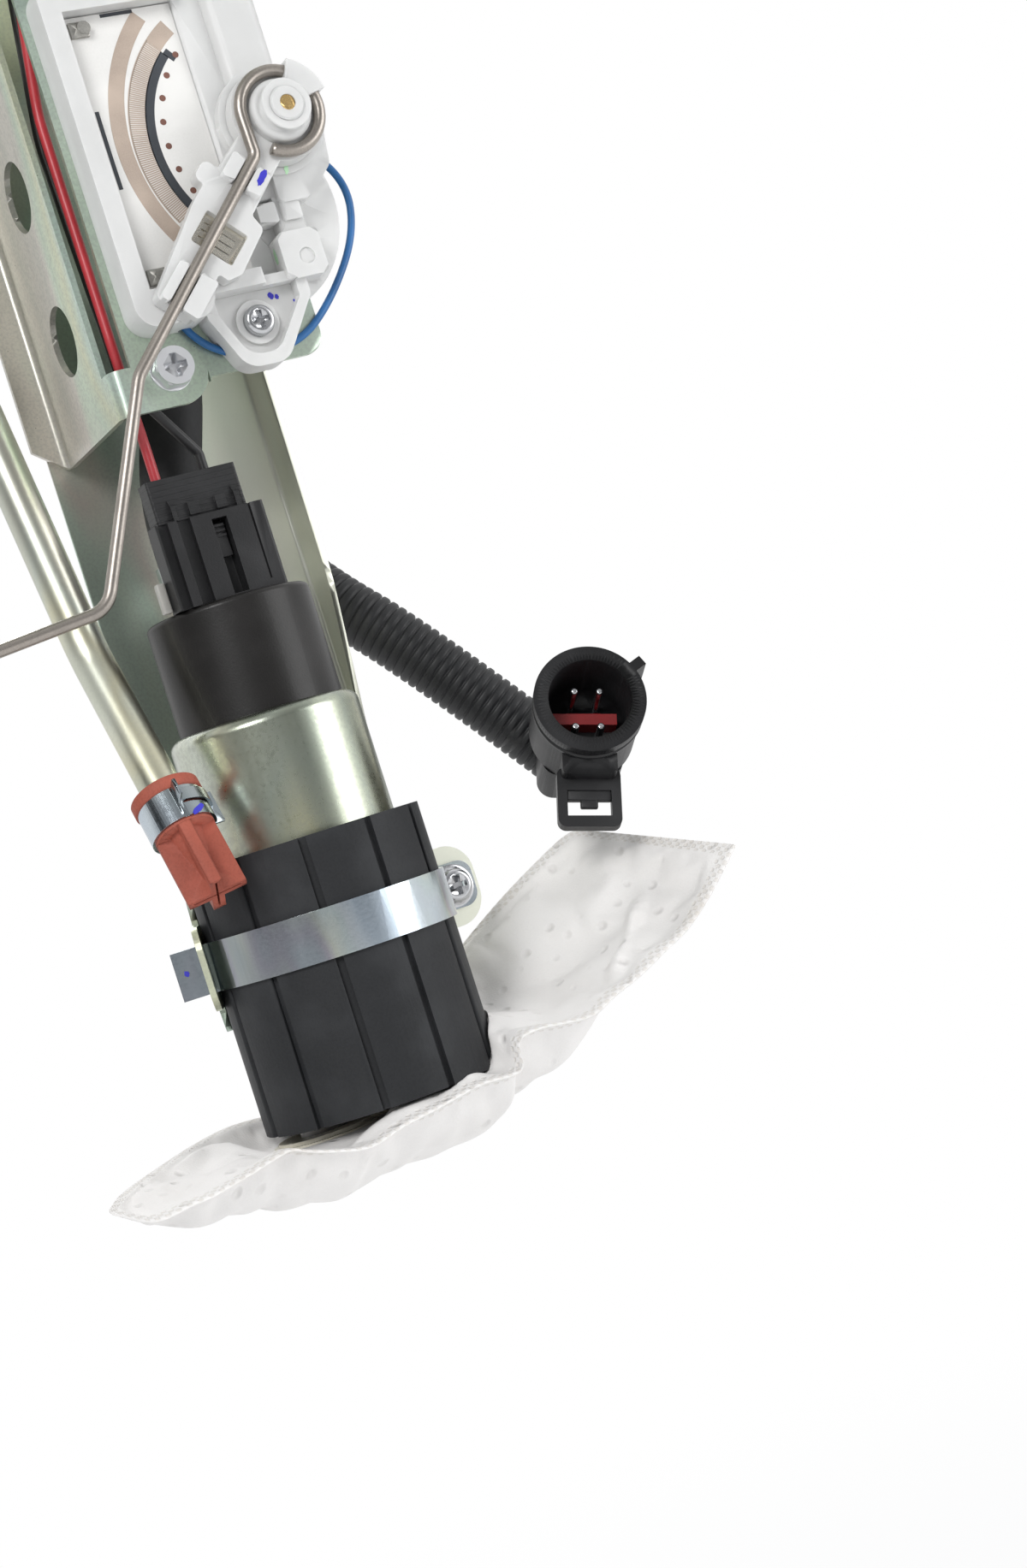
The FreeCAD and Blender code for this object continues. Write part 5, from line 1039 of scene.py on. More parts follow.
def even_points(knots: Sequence[Vector], count: int) -> list[Vector]:
    """Points at even steps along a smooth curve through its knots.

    Args:
        knots: the points that the curve passes.
        count: how many steps.

    Returns:
        One point more than there are steps.
    """
    fine = []
    for i in range(len(knots) - 1):
        before, start = knots[max(i - 1, 0)], knots[i]
        stop, after = knots[i + 1], knots[min(i + 2, len(knots) - 1)]
        for step in range(KNOT_STEPS):
            t = step / KNOT_STEPS
            fine.append(0.5 * (
                start * 2.0 + (stop - before) * t + (before * 2.0 - start * 5.0 + stop * 4.0 - after) * t ** 2
                + (start * 3.0 - before - stop * 3.0 + after) * t ** 3
            ))
    fine.append(knots[-1].copy())
    total = path_length(fine)
    found, walked, i = [], 0.0, 0
    for step in range(count + 1):
        goal = total * step / count
        while i < len(fine) - 2 and walked + (fine[i + 1] - fine[i]).length < goal:
            walked += (fine[i + 1] - fine[i]).length
            i += 1
        leg = (fine[i + 1] - fine[i]).length
        found.append(fine[i].lerp(fine[i + 1], min(1.0, (goal - walked) / leg if leg else 0.0)))
    return found


def path_length(points: Sequence[Vector]) -> float:
    """Length along a run of points."""
    return sum((b - a).length for a, b in zip(points, points[1:]))


@dataclass
class Hanger:
    """Flange, channel, bracket and their fasteners."""

    frame: Frame
    nodes: tuple[str, ...] = ("flange_plate", "sender_bracket", "clinch_nut", "strap_nut")

    def build(self) -> None:
        """Dress the sheet metal and the fasteners."""
        for node in self.nodes:
            self.frame.dress(node)
        self.frame.dress("bracket_screw", Finish.SATIN_STEEL, CRISP_ANGLE)
        self.frame.dress("strap_screw", angle=CRISP_ANGLE)
        self.frame.dress("main_channel", Finish.CHANNEL_STEEL)
        self.frame.dress("strap", Finish.STRAP_STEEL)


@dataclass
class Pump:
    """The electric pump with its sleeve and plug."""

    frame: Frame
    nodes: tuple[str, ...] = (
        "pump_end_cap", "pump_terminals", "check_valve", "armature", "windings", "commutator", "motor_shaft",
        "carbon_brushes", "magnets", "impeller", "bearing_plate", "inlet_plate", "rubber_sleeve",
    )

    def build(self) -> None:
        """Dress the pump's pieces."""
        for node in self.nodes:
            self.frame.dress(node)
        self.frame.dress("pump_can", Finish.CAN_STEEL)
        self.frame.dress("plug_housing", angle=CRISP_ANGLE)
        self.frame.dress("plug_cap", Finish.RIDGED_PLASTIC, CRISP_ANGLE)
        tab = rounded_box((-15.3, -8.2, -197.0), (-13.5, -6.4, -191.0), 0.4, "plug_tab")
        self.frame.carry(piece_of(tab, "plug_tab", Finish.TAB_PLASTIC), "plug_housing")


@dataclass
class FuelLines:
    """Tubes, hose, clamps and the return valve."""

    frame: Frame
    nodes: tuple[str, ...] = ("feed_tube", "return_tube", "feed_hose", "hose_clamps", "duckbill_valve")

    def build(self) -> None:
        """Dress the lines."""
        for node in self.nodes:
            self.frame.dress(node)
        self.frame.dress("valve_band", Finish.STRAP_STEEL)


@dataclass(frozen=True)
class Mark:
    """A small spot of ink on a face: its place and the way out of the face, both along the module's axes."""

    place: Place
    out: Place
    size: tuple[float, float]
    lean: float = 0.0
    seed: int = 1
    sides: int = 20

    def mesh(self, name: str) -> bpy.types.Mesh:
        """Make a thin blot with a wavering outline."""
        dice = random.Random(self.seed)
        out = Vector(self.out).normalized()
        side = out.cross(Vector((0.0, 0.0, 1.0))).normalized()
        rise = side.cross(out).normalized()
        long_way = side * math.sin(self.lean) + rise * math.cos(self.lean)
        short_way = side * math.cos(self.lean) - rise * math.sin(self.lean)
        centre = Vector(self.place) * MM
        ring = []
        for i in range(self.sides):
            turn = math.tau * i / self.sides
            wander = 0.82 + 0.30 * dice.random()
            spot = long_way * math.cos(turn) * self.size[0] + short_way * math.sin(turn) * self.size[1]
            ring.append(spot * wander)
        low = [centre + (spot - out * 0.05) * MM for spot in ring]
        high = [centre + (spot * 0.92 + out * 0.045) * MM for spot in ring]
        count = len(ring)
        faces = [list(range(count)), list(range(2 * count - 1, count - 1, -1))]
        faces += [[i, (i + 1) % count, count + (i + 1) % count, count + i] for i in range(count)]
        return mesh_from(low + high, faces, name)


@dataclass
class LevelSender:
    """The level sender with its card, wiper, arm and float."""

    frame: Frame
    ink: float = 0.05 * MM
    lines: int = 92
    line_width: float = 0.27 * MM
    pads: int = 7
    dome_place: Place = (29.5, -33.3, -112.8)
    dome_rings: tuple[tuple[float, float, float, float], ...] = ((2.6, 5.0, 0.0, 0.5), (1.55, 3.4, 0.0, 1.1))
    face: float = field(default=0.0, init=False)
    nodes: tuple[str, ...] = ("resistor_card", "pivot_pin", "float_arm", "level_float", "float_clip")

    def build(self) -> None:
        """Dress the sender and print its card."""
        for node in self.nodes:
            self.frame.dress(node)
        for node in ("sender_body", "wiper_carrier", "sender_screws"):
            self.frame.dress(node, angle=CRISP_ANGLE)
        self.frame.dress("card_terminals", Finish.SOLDER, CRISP_ANGLE)
        self.frame.dress("wiper_contacts", Finish.CONTACT_ALLOY, CRISP_ANGLE)
        self.face = self.frame.span("resistor_card")[0].y
        self._print_bands()
        self._print_comb()
        self._print_pads()
        self._marks()
        self._dome()

    def _dome(self) -> None:
        """The stepped dome round the pivot pin, of rings given by their radii and heights."""
        turn = Matrix.Rotation(math.radians(90.0), 4, "X")
        turn.translation = Vector(self.dome_place)
        rings = [turned_ring(*ring, "dome", turn) for ring in self.dome_rings]
        work = bmesh.new()
        for ring in rings:
            work.from_mesh(ring)
        dome = bpy.data.meshes.new("pivot_dome")
        work.to_mesh(dome)
        work.free()
        self.frame.carry(piece_of(shaded(dome), "pivot_dome", Finish.NATURAL_PLASTIC), "wiper_carrier")

    def _band(self, name: str, centre: tuple[float, float], reach: tuple[float, float],
              turn: tuple[float, float], finish: Finish) -> bpy.types.Mesh:
        """One printed band of the card.

        Args:
            name: the mesh's name.
            centre: the arc's centre, across and up, in millimetres.
            reach: its inner and outer radius in millimetres.
            turn: its first and last angle in degrees.
            finish: its finish.

        Returns:
            The mesh.
        """
        return PrintedArc().mesh(name, {
            "Centre X": centre[0] * MM, "Centre Z": centre[1] * MM, "Inner": reach[0] * MM,
            "Outer": reach[1] * MM, "Start": turn[0], "Stop": turn[1], "Face": self.face, "Ink": self.ink,
            "Segments": 60, "Finish": finish.made(),
        })

    def _place(self, meshes: Sequence[bpy.types.Mesh], name: str, finish: Finish,
               node: str = "resistor_card") -> None:
        """Join meshes into one piece that rides with a node."""
        work = bmesh.new()
        for mesh in meshes:
            work.from_mesh(mesh)
        bmesh.ops.remove_doubles(work, verts=work.verts, dist=SAME_INK)
        bmesh.ops.recalc_face_normals(work, faces=work.faces)
        joined = bpy.data.meshes.new(name)
        work.to_mesh(joined)
        work.free()
        self.frame.carry(piece_of(joined, name, finish), node)

    def _print_bands(self) -> None:
        """The plain track and the dark resistor track with its hooked end."""
        track = self._band("card_track", (34.0, -112.4), (32.0, 35.1), (132.5, 212.0), Finish.PRINT_TAUPE)
        self._place([track], "card_track", Finish.PRINT_TAUPE)
        dark = self._band("card_resistor", (30.2, -112.9), (22.7, 24.55), (133.0, 210.5), Finish.PRINT_DARK)
        hook = self._band("card_hook", (30.2, -112.9), (21.5, 24.0), (130.2, 133.4), Finish.PRINT_DARK)
        edge = self._band("card_edge", (600.0, -111.6), (602.2, 603.0), (179.3, 180.75), Finish.PRINT_DARK)
        top = self._band("card_top", (7.0, -686.8), (600.0, 600.7), (89.68, 90.30), Finish.PRINT_DARK)
        self._place([dark, hook, edge, top], "card_resistor", Finish.PRINT_DARK)

    def _print_comb(self) -> None:
        """The track of fine radial lines with its plain end."""
        plain = self._band("card_comb_end", (30.6, -113.0), (24.9, 28.3), (122.5, 133.2), Finish.PRINT_TAUPE)
        inner = self._band("card_comb_edge", (30.6, -113.0), (28.0, 28.3), (133.0, 211.5), Finish.PRINT_TAUPE)
        teeth = RadialLines().mesh("card_comb_lines", {
            "Centre X": 30.6 * MM, "Centre Z": -113.0 * MM, "Inner": 24.7 * MM, "Outer": 28.1 * MM,
            "Start": 133.6, "Stop": 211.3, "Face": self.face, "Ink": self.ink, "Width": self.line_width,
            "Lines": self.lines, "Finish": Finish.PRINT_TAUPE.made(),
        })
        self._place([plain, inner, teeth], "card_comb", Finish.PRINT_TAUPE)

    def _print_pads(self) -> None:
        """The row of test pads with the short line to the first one."""
        pads = RoundPads().mesh("card_pads", {
            "Centre X": 32.6 * MM, "Centre Z": -112.7 * MM, "Reach": 23.4 * MM, "Start": 134.6, "Stop": 203.9,
            "Face": self.face, "Ink": self.ink * 1.2, "Radius": 0.62 * MM, "Pads": self.pads,
            "Finish": Finish.PRINT_BROWN.made(),
        })
        self._place([pads], "card_pads", Finish.PRINT_BROWN)

    def _marks(self) -> None:
        """Ink spots left by whoever set and tested the sender."""
        front, left = (0.0, -1.0, 0.0), (-1.0, 0.0, 0.0)
        hub, band_out, strap_out = (21.5, -30.39, -124.8), (0.368, -0.827, 0.425), (-0.342, -0.94, 0.0)
        blue, green = Finish.INK_BLUE, Finish.INK_GREEN
        spots = (
            ("carrier_ink", "wiper_carrier", blue, Mark(hub, front, (1.9, 0.72), -0.75, 3)),
            ("sender_ink", "sender_body", blue, Mark((20.5, -19.6, -144.5), front, (0.75, 0.62), 0.3, 5)),
            ("sender_dot", "sender_body", blue, Mark((21.6, -19.6, -144.9), front, (0.55, 0.45), 0.0, 6)),
            ("sender_speck", "sender_body", blue, Mark((24.8, -19.6, -146.3), front, (0.32, 0.2), 0.0, 7)),
            ("green_streak", "sender_body", green, Mark((29.4, -24.8, -122.2), front, (1.5, 0.5), -0.2, 8)),
            ("green_touch", "sender_body", green, Mark((23.5, -20.6, -137.7), left, (1.7, 0.7), 0.0, 9)),
            ("band_ink", "valve_band", blue, Mark((-25.05, -21.5, -234.3), band_out, (2.1, 0.6), -1.1, 4)),
            ("strap_ink", "strap", blue, Mark((-29.5, 2.28, -263.2), strap_out, (0.65, 0.5), 0.4, 2)),
        )
        for name, node, finish, mark in spots:
            self._place([mark.mesh("ink")], name, finish, node)


@dataclass
class Strainer:
    """The strainer bag with its hub and ring.

    The bag is two sheets between a near and a far edge, welded together along a flat border all round. Its
    edges and depths are in millimetres.
    """

    frame: Frame
    near_edge: tuple[Place, ...] = (
        (-61.0, -12.0, -299.2), (-55.9, -20.0, -302.6), (-49.1, -23.0, -301.9), (-45.2, -24.0, -301.6),
        (-38.9, -25.0, -300.4), (-33.3, -26.0, -299.1), (-29.4, -26.0, -298.5), (-26.4, -26.5, -299.8),
        (-20.6, -27.0, -301.8), (-14.6, -27.0, -303.0), (-7.3, -27.0, -301.4), (-0.3, -27.0, -300.6),
        (9.3, -27.0, -299.3), (16.4, -26.5, -299.8), (18.9, -26.5, -299.0), (20.0, -26.0, -294.2),
        (24.7, -26.0, -293.3), (30.5, -25.5, -294.1), (36.5, -25.5, -294.6), (42.3, -25.0, -292.6),
        (49.1, -25.0, -290.5), (56.7, -24.5, -287.5), (62.9, -24.0, -285.0), (69.9, -23.5, -280.4),
        (76.1, -22.5, -275.6), (79.7, -22.0, -272.7),
    )
    far_edge: tuple[Place, ...] = (
        (-61.0, -11.5, -299.1), (-56.0, -3.0, -298.0), (-48.9, 4.0, -297.1), (-35.4, 14.0, -295.6),
        (-25.8, 19.0, -295.1), (-15.0, 24.0, -296.1), (-5.0, 26.0, -295.8), (8.0, 26.5, -292.5),
        (20.0, 26.0, -287.0), (30.0, 24.0, -280.0), (36.6, 22.0, -275.2), (46.4, 21.0, -269.5),
        (55.5, 20.0, -264.9), (62.3, 18.0, -261.6), (65.5, 16.0, -260.9),
    )
    belly: tuple[tuple[float, float], ...] = (
        (-61.0, 0.6), (-56.0, 2.5), (-46.0, 7.2), (-30.0, 12.0), (-12.0, 12.4), (8.0, 13.6), (22.0, 15.6),
        (30.0, 14.0), (40.0, 10.0), (52.0, 8.0), (66.0, 5.0), (80.0, 1.2),
    )
    crown: tuple[tuple[float, float], ...] = (
        (-61.0, 0.1), (-46.0, 1.4), (-34.0, 2.6), (-22.0, 3.0), (-12.0, 2.4), (-4.0, 0.0), (4.0, -1.4),
        (20.0, -1.4), (27.0, 1.0), (36.0, 3.4), (48.0, 3.6), (66.0, 2.0), (80.0, 0.4),
    )
    lip: float = 3.2
    cloth: float = 0.8
    usual_width: float = 48.0
    columns: int = 150
    rows: int = 34
    columns_ahead: int = 26
    end_run: float = 9.0
    rim_run: float = 3.0
    fullness: float = 0.72
    crease: tuple[Place, Place] = ((45.0, -19.5, 0.0), (63.5, -6.5, 0.0))
    crease_height: float = 2.3
    crease_width: float = 1.1
    crease_bend: float = 0.8
    sleeve_radius: float = 24.3
    sleeve_base: float = -298.6
    ring_place: tuple[float, float] = (-11.5, 2.5)
    ring_seat: float = -301.3
    ring_reach: float = 19.0
    ring_run: float = 7.0
    swell: float = 1.6
    frames: int = 14
    work_scale: float = 0.01
    pinned: list[int] = field(default_factory=list, init=False)

    def build(self) -> None:
        """Dress the ring and the hub and make the bag."""
        for node in ("sock_ring", "sock_hub"):
            self.frame.dress(node)
        bag = self._sheets()
        bag = self._swollen(bag)
        self._clear(bag)
        mesh = self._refined(bag)
        piece = piece_of(mesh, "sock_bag_look", Finish.SOCK_FABRIC)
        self.frame.stand_for(piece, "sock_bag")

    def _across(self) -> list[float]:
        """Shares of the way across at which a sheet has points, with the welded lips as their own steps."""
        share = self.lip / self.usual_width
        inner = [share + (1.0 - 2.0 * share) * i / self.rows for i in range(self.rows + 1)]
        return [0.0, share * 0.5, *inner, 1.0 - share * 0.5, 1.0]

    def _sheets(self) -> bpy.types.Mesh:
        """Loft both sheets between the edges, with folds, as one closed skin.

        Returns:
            The mesh, in millimetres, with its maps and the pinned border.
        """
        near = even_points([Vector(p) for p in self.near_edge], self.columns)
        far = even_points([Vector(p) for p in self.far_edge], self.columns)
        shares = self._across()
        length = path_length(near)
        points, cloth, border, pinned, faces = [], [], [], [], []
        for i in range(self.columns + 1):
            along = length * i / self.columns
            across = far[i] - near[i]
            width = max(across.length, 0.5)
            start, stop = max(i - self.columns_ahead, 0), min(i + self.columns_ahead, self.columns)
            ahead = (near[stop] - near[start]).normalized()
            down = ahead.cross(across).normalized() if across.length > 0.01 else Vector((0.0, 0.0, -1.0))
            if down.z > 0.0:
                down = -down
            x = near[i].x * 0.5 + far[i].x * 0.5
            ends = min(along, length - along)
            open_end = ease((ends - self.lip) / self.end_run)
            for sheet in (1, -1):
                run = shares if sheet == 1 else shares[::-1]
                for share in run:
                    rim = min(share, 1.0 - share) * width
                    weld = ease((rim - self.lip) / self.rim_run) * open_end
                    inside = max(0.0, min(1.0, (share * width - self.lip) / max(width - 2.0 * self.lip, 1.0)))
                    arch = math.sin(math.pi * inside) ** self.fullness * open_end
                    depth = along_table(self.belly if sheet == 1 else self.crown, x)
                    spot = near[i] + across * share + down * (depth * arch + sheet * self.cloth * 0.5)
                    spot += down * self._folds(spot, sheet) * weld
                    points.append(spot)
                    edge = min(rim, ends)
                    cloth.append((along, share * width))
                    border.append((edge, 0.0))
                    pinned.append(edge <= self.lip * 1.01)
        ring = 2 * len(shares)
        for i in range(self.columns):
            for j in range(ring):
                k = (j + 1) % ring
                faces.append((i * ring + j, i * ring + k, (i + 1) * ring + k, (i + 1) * ring + j))
        half = len(shares)
        for i in (0, self.columns):
            for j in range(half - 1):
                last = i * ring + ring - 1
                faces.append((i * ring + j, i * ring + j + 1, last - 1 - j, last - j))
        mesh = bpy.data.meshes.new("sock_bag_sheets")
        mesh.from_pydata([tuple(p) for p in points], [], faces)
        for label, values in (("cloth", cloth), ("border", border)):
            layer = mesh.uv_layers.new(name=label)
            for loop in mesh.loops:
                along, across = values[loop.vertex_index]
                layer.data[loop.index].uv = (along * MM, across * MM)
        work = bmesh.new()
        work.from_mesh(mesh)
        bmesh.ops.recalc_face_normals(work, faces=work.faces)
        work.to_mesh(mesh)
        work.free()
        self.pinned = [i for i, held in enumerate(pinned) if held]
        return mesh

    def _folds(self, spot: Vector, sheet: int) -> float:
        """How far a fold moves the cloth down at a place, in millimetres."""
        broad = noise.noise(Vector((spot.x / 17.0, spot.y / 13.0, sheet * 3.1))) * 1.5
        fine = noise.noise(Vector((spot.x / 5.0, spot.y / 9.0, sheet * 7.7))) * 0.55
        ridge = 0.0
        if sheet == -1:
            start, stop = Vector(self.crease[0]), Vector(self.crease[1])
            way = stop - start
            flat = Vector((spot.x, spot.y, 0.0)) - start
            t = flat.dot(way) / way.length_squared
            off = abs(flat.x * way.y - flat.y * way.x) / way.length
            bend = self.crease_bend * math.sin(t * 9.0)
            ridge = self.crease_height * math.exp(-((off - bend) / self.crease_width) ** 2)
            ridge *= ease((t + 0.05) / 0.25) * ease((1.1 - t) / 0.35)
        return broad + fine - ridge

    def _swollen(self, mesh: bpy.types.Mesh) -> bpy.types.Mesh:
        """Let the cloth swell a little between its welded edges.

        Args:
            mesh: the sheets in millimetres.

        Returns:
            The swollen mesh.
        """
        before = [vertex.co.copy() for vertex in mesh.vertices]
        for vertex in mesh.vertices:
            vertex.co *= self.work_scale
        holder = bpy.data.objects.new("sock_cloth", mesh)
        bpy.context.scene.collection.objects.link(holder)
        rim = holder.vertex_groups.new(name="rim")
        rim.add(self.pinned, 1.0, "REPLACE")
        settings = holder.modifiers.new("cloth", "CLOTH").settings
        settings.quality = 6
        settings.mass = 0.15
        settings.tension_stiffness = settings.compression_stiffness = 12.0
        settings.shear_stiffness = 6.0
        settings.bending_stiffness = 0.8
        settings.shrink_min = -0.025
        settings.vertex_group_mass = "rim"
        settings.use_pressure = True
        settings.uniform_pressure_force = 0.6
        settings.effector_weights.gravity = 0.0
        scene = bpy.context.scene
        for frame in range(1, self.frames + 1):
            scene.frame_set(frame)
        swollen = frozen(holder, "sock_bag_sheets")
        scene.frame_set(1)
        for vertex, start in zip(swollen.vertices, before):
            move = vertex.co / self.work_scale - start
            if move.length > self.swell:
                move *= self.swell / move.length
            vertex.co = start + move
        return swollen

    def _clear(self, mesh: bpy.types.Mesh) -> None:
        """Keep the cloth out of the sleeve and lay the upper sheet right under the ring."""
        half = len(self._across())
        for vertex in mesh.vertices:
            x, y, z = vertex.co
            reach = math.hypot(x, y)
            if reach < self.sleeve_radius and z > self.sleeve_base:
                sink, slide = z - self.sleeve_base, self.sleeve_radius - reach
                if slide < sink and reach > 1.0:
                    vertex.co.x *= self.sleeve_radius / reach
                    vertex.co.y *= self.sleeve_radius / reach
                else:
                    vertex.co.z = self.sleeve_base
            beside = math.hypot(x - self.ring_place[0], y - self.ring_place[1])
            if vertex.index % (2 * half) >= half or vertex.co.z > self.ring_seat:
                near_ring = ease((self.ring_reach - beside) / self.ring_run)
                vertex.co.z += (self.ring_seat - vertex.co.z) * near_ring

    def _refined(self, mesh: bpy.types.Mesh) -> bpy.types.Mesh:
        """Scale the cloth to metres and smooth it."""
        for vertex in mesh.vertices:
            vertex.co *= MM
        holder = bpy.data.objects.new("sock_bag_look", mesh)
        bpy.context.scene.collection.objects.link(holder)
        finer = holder.modifiers.new("finer", "SUBSURF")
        finer.levels = finer.render_levels = 1
        smooth = frozen(holder, "sock_bag_look")
        smooth.shade_smooth()
        return smooth


@dataclass
class Harness:
    """Leads inside the hanger and the free harness with its connector."""

    frame: Frame
    conduit_radius: float = 6.6 * MM
    groove_depth: float = 0.55 * MM
    ring_pitch: float = 2.05 * MM
    samples_per_ring: int = 8
    lead_radius: float = 0.75 * MM
    mouth: Place = (64.5, -10.0, -235.8)
    mouth_axis: Place = (-0.226, -0.915, 0.328)
    latch_side: Place = (0.386, 0.224, 0.895)
    rim: tuple[float, float, float, float] = (10.6, 11.45, -5.0, -3.6)
    tongues: tuple[tuple[Place, Place], ...] = (
        ((-4.6, -18.6, -10.6), (4.6, -12.4, -8.9)), ((-1.8, -20.2, -10.4), (1.8, -18.2, -9.1)),
    )
    route: tuple[Place, ...] = (
        (22.0, 16.0, 13.0), (22.5, 60.0, 15.0), (27.0, 86.0, -8.0), (31.0, 92.0, -45.0),
        (33.0, 90.0, -90.0), (31.0, 78.0, -134.0), (29.0, 61.0, -172.0), (35.0, 43.0, -194.0),
        (50.0, 32.0, -214.0), (72.4, 23.4, -247.4),
    )
    signal_route: tuple[Place, ...] = (
        (0.3, -17.9, -141.5), (2.4, -17.9, -148.8), (11.5, -17.9, -154.6), (24.0, -17.9, -154.4),
        (33.6, -17.4, -147.0), (43.4, -15.2, -135.0), (45.4, -14.8, -124.0), (38.0, -13.6, -114.5),
        (22.0, -12.6, -108.0), (-2.0, -12.0, -106.0), (6.0, -12.0, -72.0), (24.5, -0.5, -24.0),
        (24.5, 0.0, -4.0),
    )
    nodes: tuple[str, ...] = (
        "red_wire", "black_wire", "harness_gland", "harness_tail", "connector_pins", "connector_lock",
        "connector_latch",
    )
    far_nodes: tuple[str, ...] = (
        "harness_tail", "connector_shell", "connector_pins", "connector_lock", "connector_latch",
    )

    def build(self) -> None:
        """Dress the leads and the connector and make the conduit."""
        pieces = {node: self.frame.dress(node) for node in self.nodes}
        pieces["connector_shell"] = self.frame.dress("connector_shell", Finish.SOCKET_PLASTIC)
        points = millimetres(self.route)
        length = path_length(smooth_points(points))
        rings = round(length / self.ring_pitch)
        mesh = PathTube().mesh("harness_conduit_look", {
            "Wall Radius": self.conduit_radius, "Groove Depth": self.groove_depth, "Pitch": length / rings,
            "Crest": 0.40, "Samples": rings * self.samples_per_ring, "Sides": 32,
            "Finish": Finish.CONDUIT_PLASTIC.made(),
        }, smooth_path(points, "conduit_path"))
        conduit = piece_of(mesh, "harness_conduit_look", Finish.CONDUIT_PLASTIC)
        self.frame.stand_for(conduit, "harness_conduit")
        self._signal_lead()
        going = [pieces[node] for node in self.far_nodes]
        way = [tuple(point) for point in smooth_points(points)]
        going + self._trim()

    def _signal_lead(self) -> None:
        """The thin lead that loops round the sender to its card."""
        mesh = PathTube().mesh("blue_wire_look", {
            "Wall Radius": self.lead_radius, "Groove Depth": 0.0, "Pitch": 0.01, "Crest": 0.5, "Samples": 260,
            "Sides": 14, "Finish": Finish.BLUE_INSULATION.made(),
        }, smooth_path(millimetres(self.signal_route), "signal_path"))
        self.frame.stand_for(piece_of(mesh, "blue_wire_look", Finish.BLUE_INSULATION), "blue_wire")

    def _trim(self) -> list[bpy.types.Object]:
        """Second rim under the connector's mouth and the stepped tongue under its latch."""
        out = Vector(self.mouth_axis).normalized()
        rise = Vector(self.latch_side)
        rise = (rise - out * rise.dot(out)).normalized()
        side = rise.cross(out)
        turn = Matrix((side, rise, out)).transposed().to_4x4()
        turn.translation = Vector(self.mouth)
        rim = turned_ring(*self.rim, "connector_rim", turn)
        made = [piece_of(rim, "connector_rim", Finish.BLACK_PLASTIC)]
        for i, (low, high) in enumerate(self.tongues):
            tongue = rounded_box(low, high, 0.35, f"latch_tongue_{i + 1}", turn)
            made.append(piece_of(tongue, f"latch_tongue_{i + 1}", Finish.BLACK_PLASTIC))
        for piece in made:
            self.frame.carry(piece, "connector_shell")
        return made


@dataclass(frozen=True)
class Lamp:
    """One soft round lamp: where it stands, the width of its face, its power in watts and where it points."""

    name: str
    place: Place
    size: float
    power: float
    aim: Place = (0.0, 0.0, -0.15)

    def build(self) -> None:
        """Add the lamp."""
        data = bpy.data.lights.new(self.name, "AREA")
        data.shape = "DISK"
        data.size = self.size
        data.energy = self.power
        lamp = bpy.data.objects.new(self.name, data)
        bpy.context.scene.collection.objects.link(lamp)
        lamp.location = self.place
        direction = Vector(self.aim) - Vector(self.place)
        lamp.rotation_euler = direction.to_track_quat("-Z", "Y").to_euler()


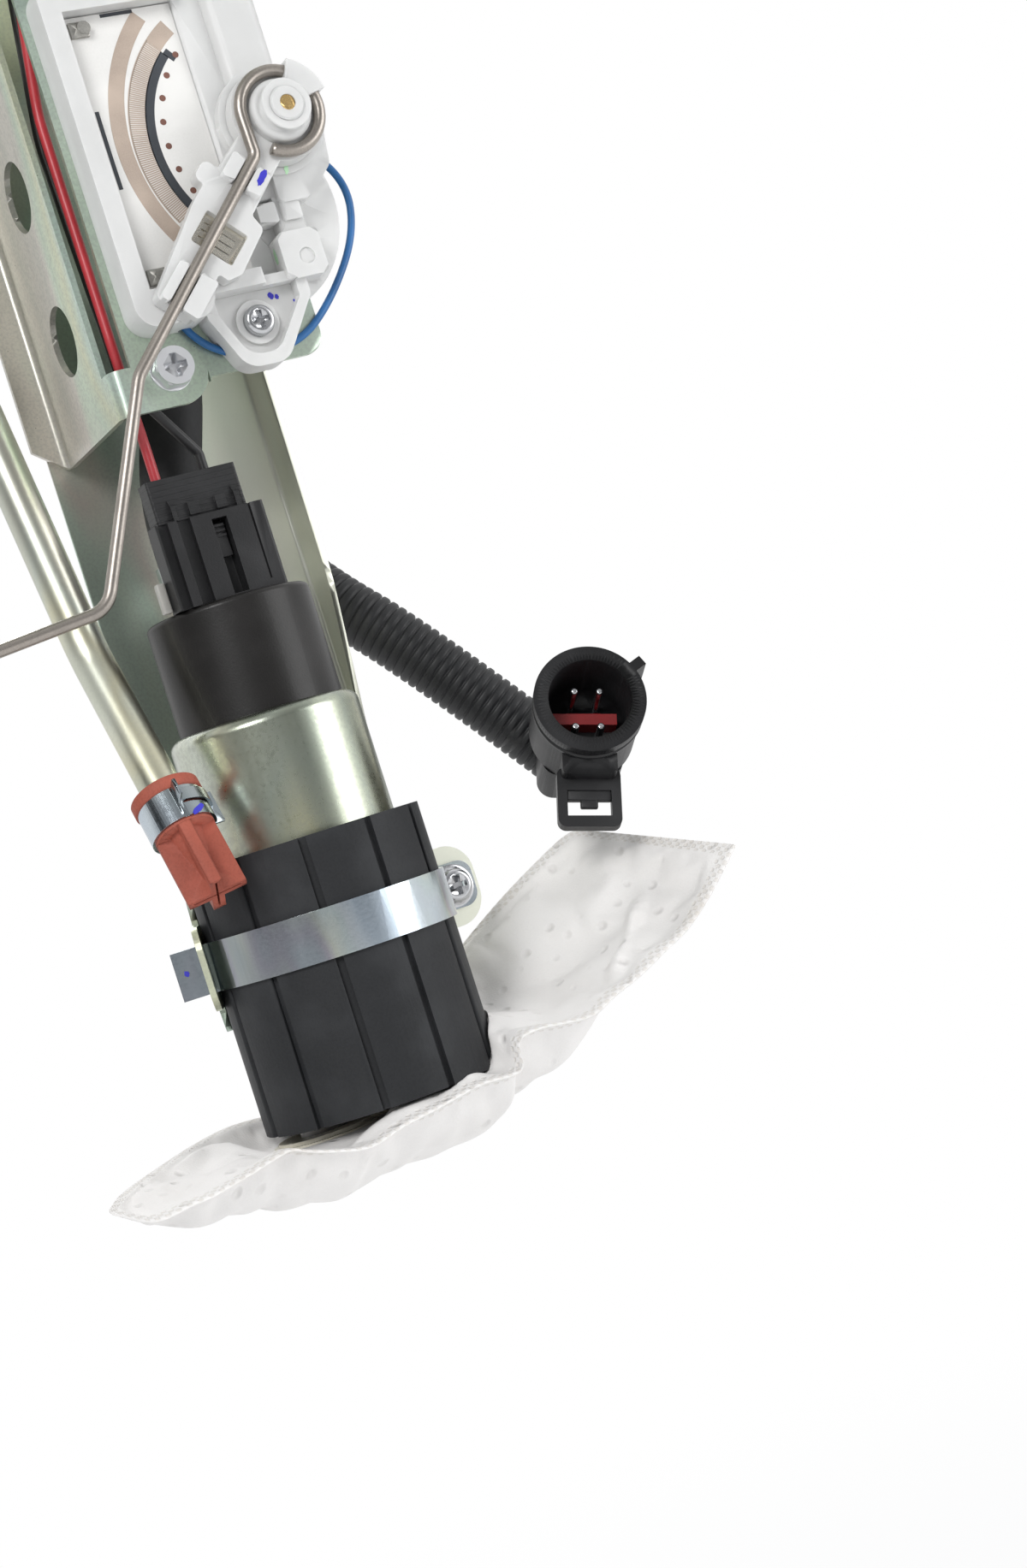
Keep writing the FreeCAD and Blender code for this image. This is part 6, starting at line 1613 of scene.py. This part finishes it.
@dataclass
class Studio:
    """Floor, light and camera."""

    azimuth: float = math.radians(-25.0)
    roll: float = math.radians(17.7)
    distance: float = 0.500
    shift_right: float = 0.04266
    height: float = -0.24758
    lens: float = 58.92
    film: float = 36.0
    floor_height: float = -0.60
    floor_radius: float = 6.0
    shadow_reach: float = 0.9
    surround: float = 0.52
    camera_side: float = 0.17
    lamps: tuple[Lamp, ...] = (
        Lamp("key", (-0.9, -1.1, 0.55), 0.7, 14.0),
        Lamp("fill", (1.1, -0.9, 0.0), 0.9, 7.0),
        Lamp("back", (0.3, 1.2, 0.6), 0.8, 9.0),
    )

    def camera(self) -> None:
        """Place the camera at the photograph's angle."""
        right = Vector((math.cos(self.azimuth), math.sin(self.azimuth), 0.0))
        away = Vector((-math.sin(self.azimuth), math.cos(self.azimuth), 0.0))
        up = Vector((0.0, 0.0, 1.0))
        data = bpy.data.cameras.new("camera")
        data.sensor_fit = "VERTICAL"
        data.sensor_height = self.film
        data.lens = self.lens
        data.clip_start = 0.01
        camera = bpy.data.objects.new("camera", data)
        bpy.context.scene.collection.objects.link(camera)
        across = right * math.cos(self.roll) - up * math.sin(self.roll)
        upward = right * math.sin(self.roll) + up * math.cos(self.roll)
        turn = Matrix((across, upward, -away)).transposed().to_4x4()
        place = right * self.shift_right - away * self.distance + up * self.height
        camera.matrix_world = Matrix.Translation(place) @ turn
        bpy.context.scene.camera = camera

    def world(self) -> None:
        """Pale surroundings that the camera sees as white, dimmer on the side where the camera stands."""
        world = bpy.data.worlds.new("surroundings")
        bpy.context.scene.world = world
        world.use_nodes = True
        world.node_tree.nodes.clear()
        tree = NodeTree(world.node_tree)
        rays = tree.node("ShaderNodeLightPath")
        way = tree.node("ShaderNodeTexCoord").out("Generated")
        around = tree.node("ShaderNodeSeparateXYZ", None, {0: way})
        behind = around.out(0) * -math.sin(self.azimuth) + around.out(1) * math.cos(self.azimuth)
        above = around.out(2)
        pale = behind.step(-0.75, 0.35) * 0.8 + above.step(-0.2, 0.9) * 0.35
        seen = rays.out("Is Camera Ray") + rays.out("Is Transmission Ray") + rays.out("Is Glossy Ray") * pale
        level = self.surround - rays.out("Is Glossy Ray") * (self.surround - self.camera_side)
        soft = tree.node("ShaderNodeBackground", None, {"Color": (0.95, 0.97, 1.0), "Strength": level}).out()
        white = tree.node("ShaderNodeBackground", None, {"Color": (1.0, 1.0, 1.0), "Strength": 1.0}).out()
        both = tree.node("ShaderNodeMixShader", None, {0: seen, 1: soft, 2: white}).out()
        tree.node("ShaderNodeOutputWorld", None, {"Surface": both})

    def floor(self) -> None:
        """A pale round floor that keeps the shadow near the module and turns white far away."""
        work = bmesh.new()
        bmesh.ops.create_circle(work, cap_ends=True, segments=96, radius=self.floor_radius)
        mesh = bpy.data.meshes.new("floor")
        work.to_mesh(mesh)
        work.free()
        for vertex in mesh.vertices:
            vertex.co.z = self.floor_height
        shader = Shader("floor_white")
        rays = shader.node("ShaderNodeLightPath")
        x, y, _ = shader.axes()
        reach = (x * x + y * y) ** 0.5
        far = reach.step(self.shadow_reach * 0.5, self.shadow_reach)
        matt = shader.node("ShaderNodeBsdfDiffuse", None, {"Color": (0.90, 0.90, 0.90)}).out()
        glow = shader.node("ShaderNodeEmission", None, {"Color": (1.0, 1.0, 1.0), "Strength": 1.0}).out()
        plain = rays.out("Is Camera Ray") + rays.out("Is Glossy Ray") + rays.out("Is Transmission Ray")
        share = plain * (far * 0.22 + 0.78)
        both = shader.node("ShaderNodeMixShader", None, {0: share, 1: matt, 2: glow}).out()
        shader.node("ShaderNodeOutputMaterial", None, {"Surface": both})
        mesh.materials.append(shader.material)
        floor = bpy.data.objects.new("floor", mesh)
        bpy.context.scene.collection.objects.link(floor)

    def build(self) -> None:
        """Set the stage."""
        bpy.context.scene.view_settings.view_transform = "Standard"
        self.camera()
        self.world()
        self.floor()
        for lamp in self.lamps:
            lamp.build()


def main() -> None:
    """Build the whole scene around the frame."""
    logging.basicConfig(level=logging.INFO, format="%(message)s")
    bpy.ops.wm.read_factory_settings(use_empty=True)
    frame = Frame.load()
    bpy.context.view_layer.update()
    for group in (Hanger, Pump, FuelLines, LevelSender, Strainer, Harness):
        group(frame).build()
    Studio().build()


if __name__ == "__main__":
    main()
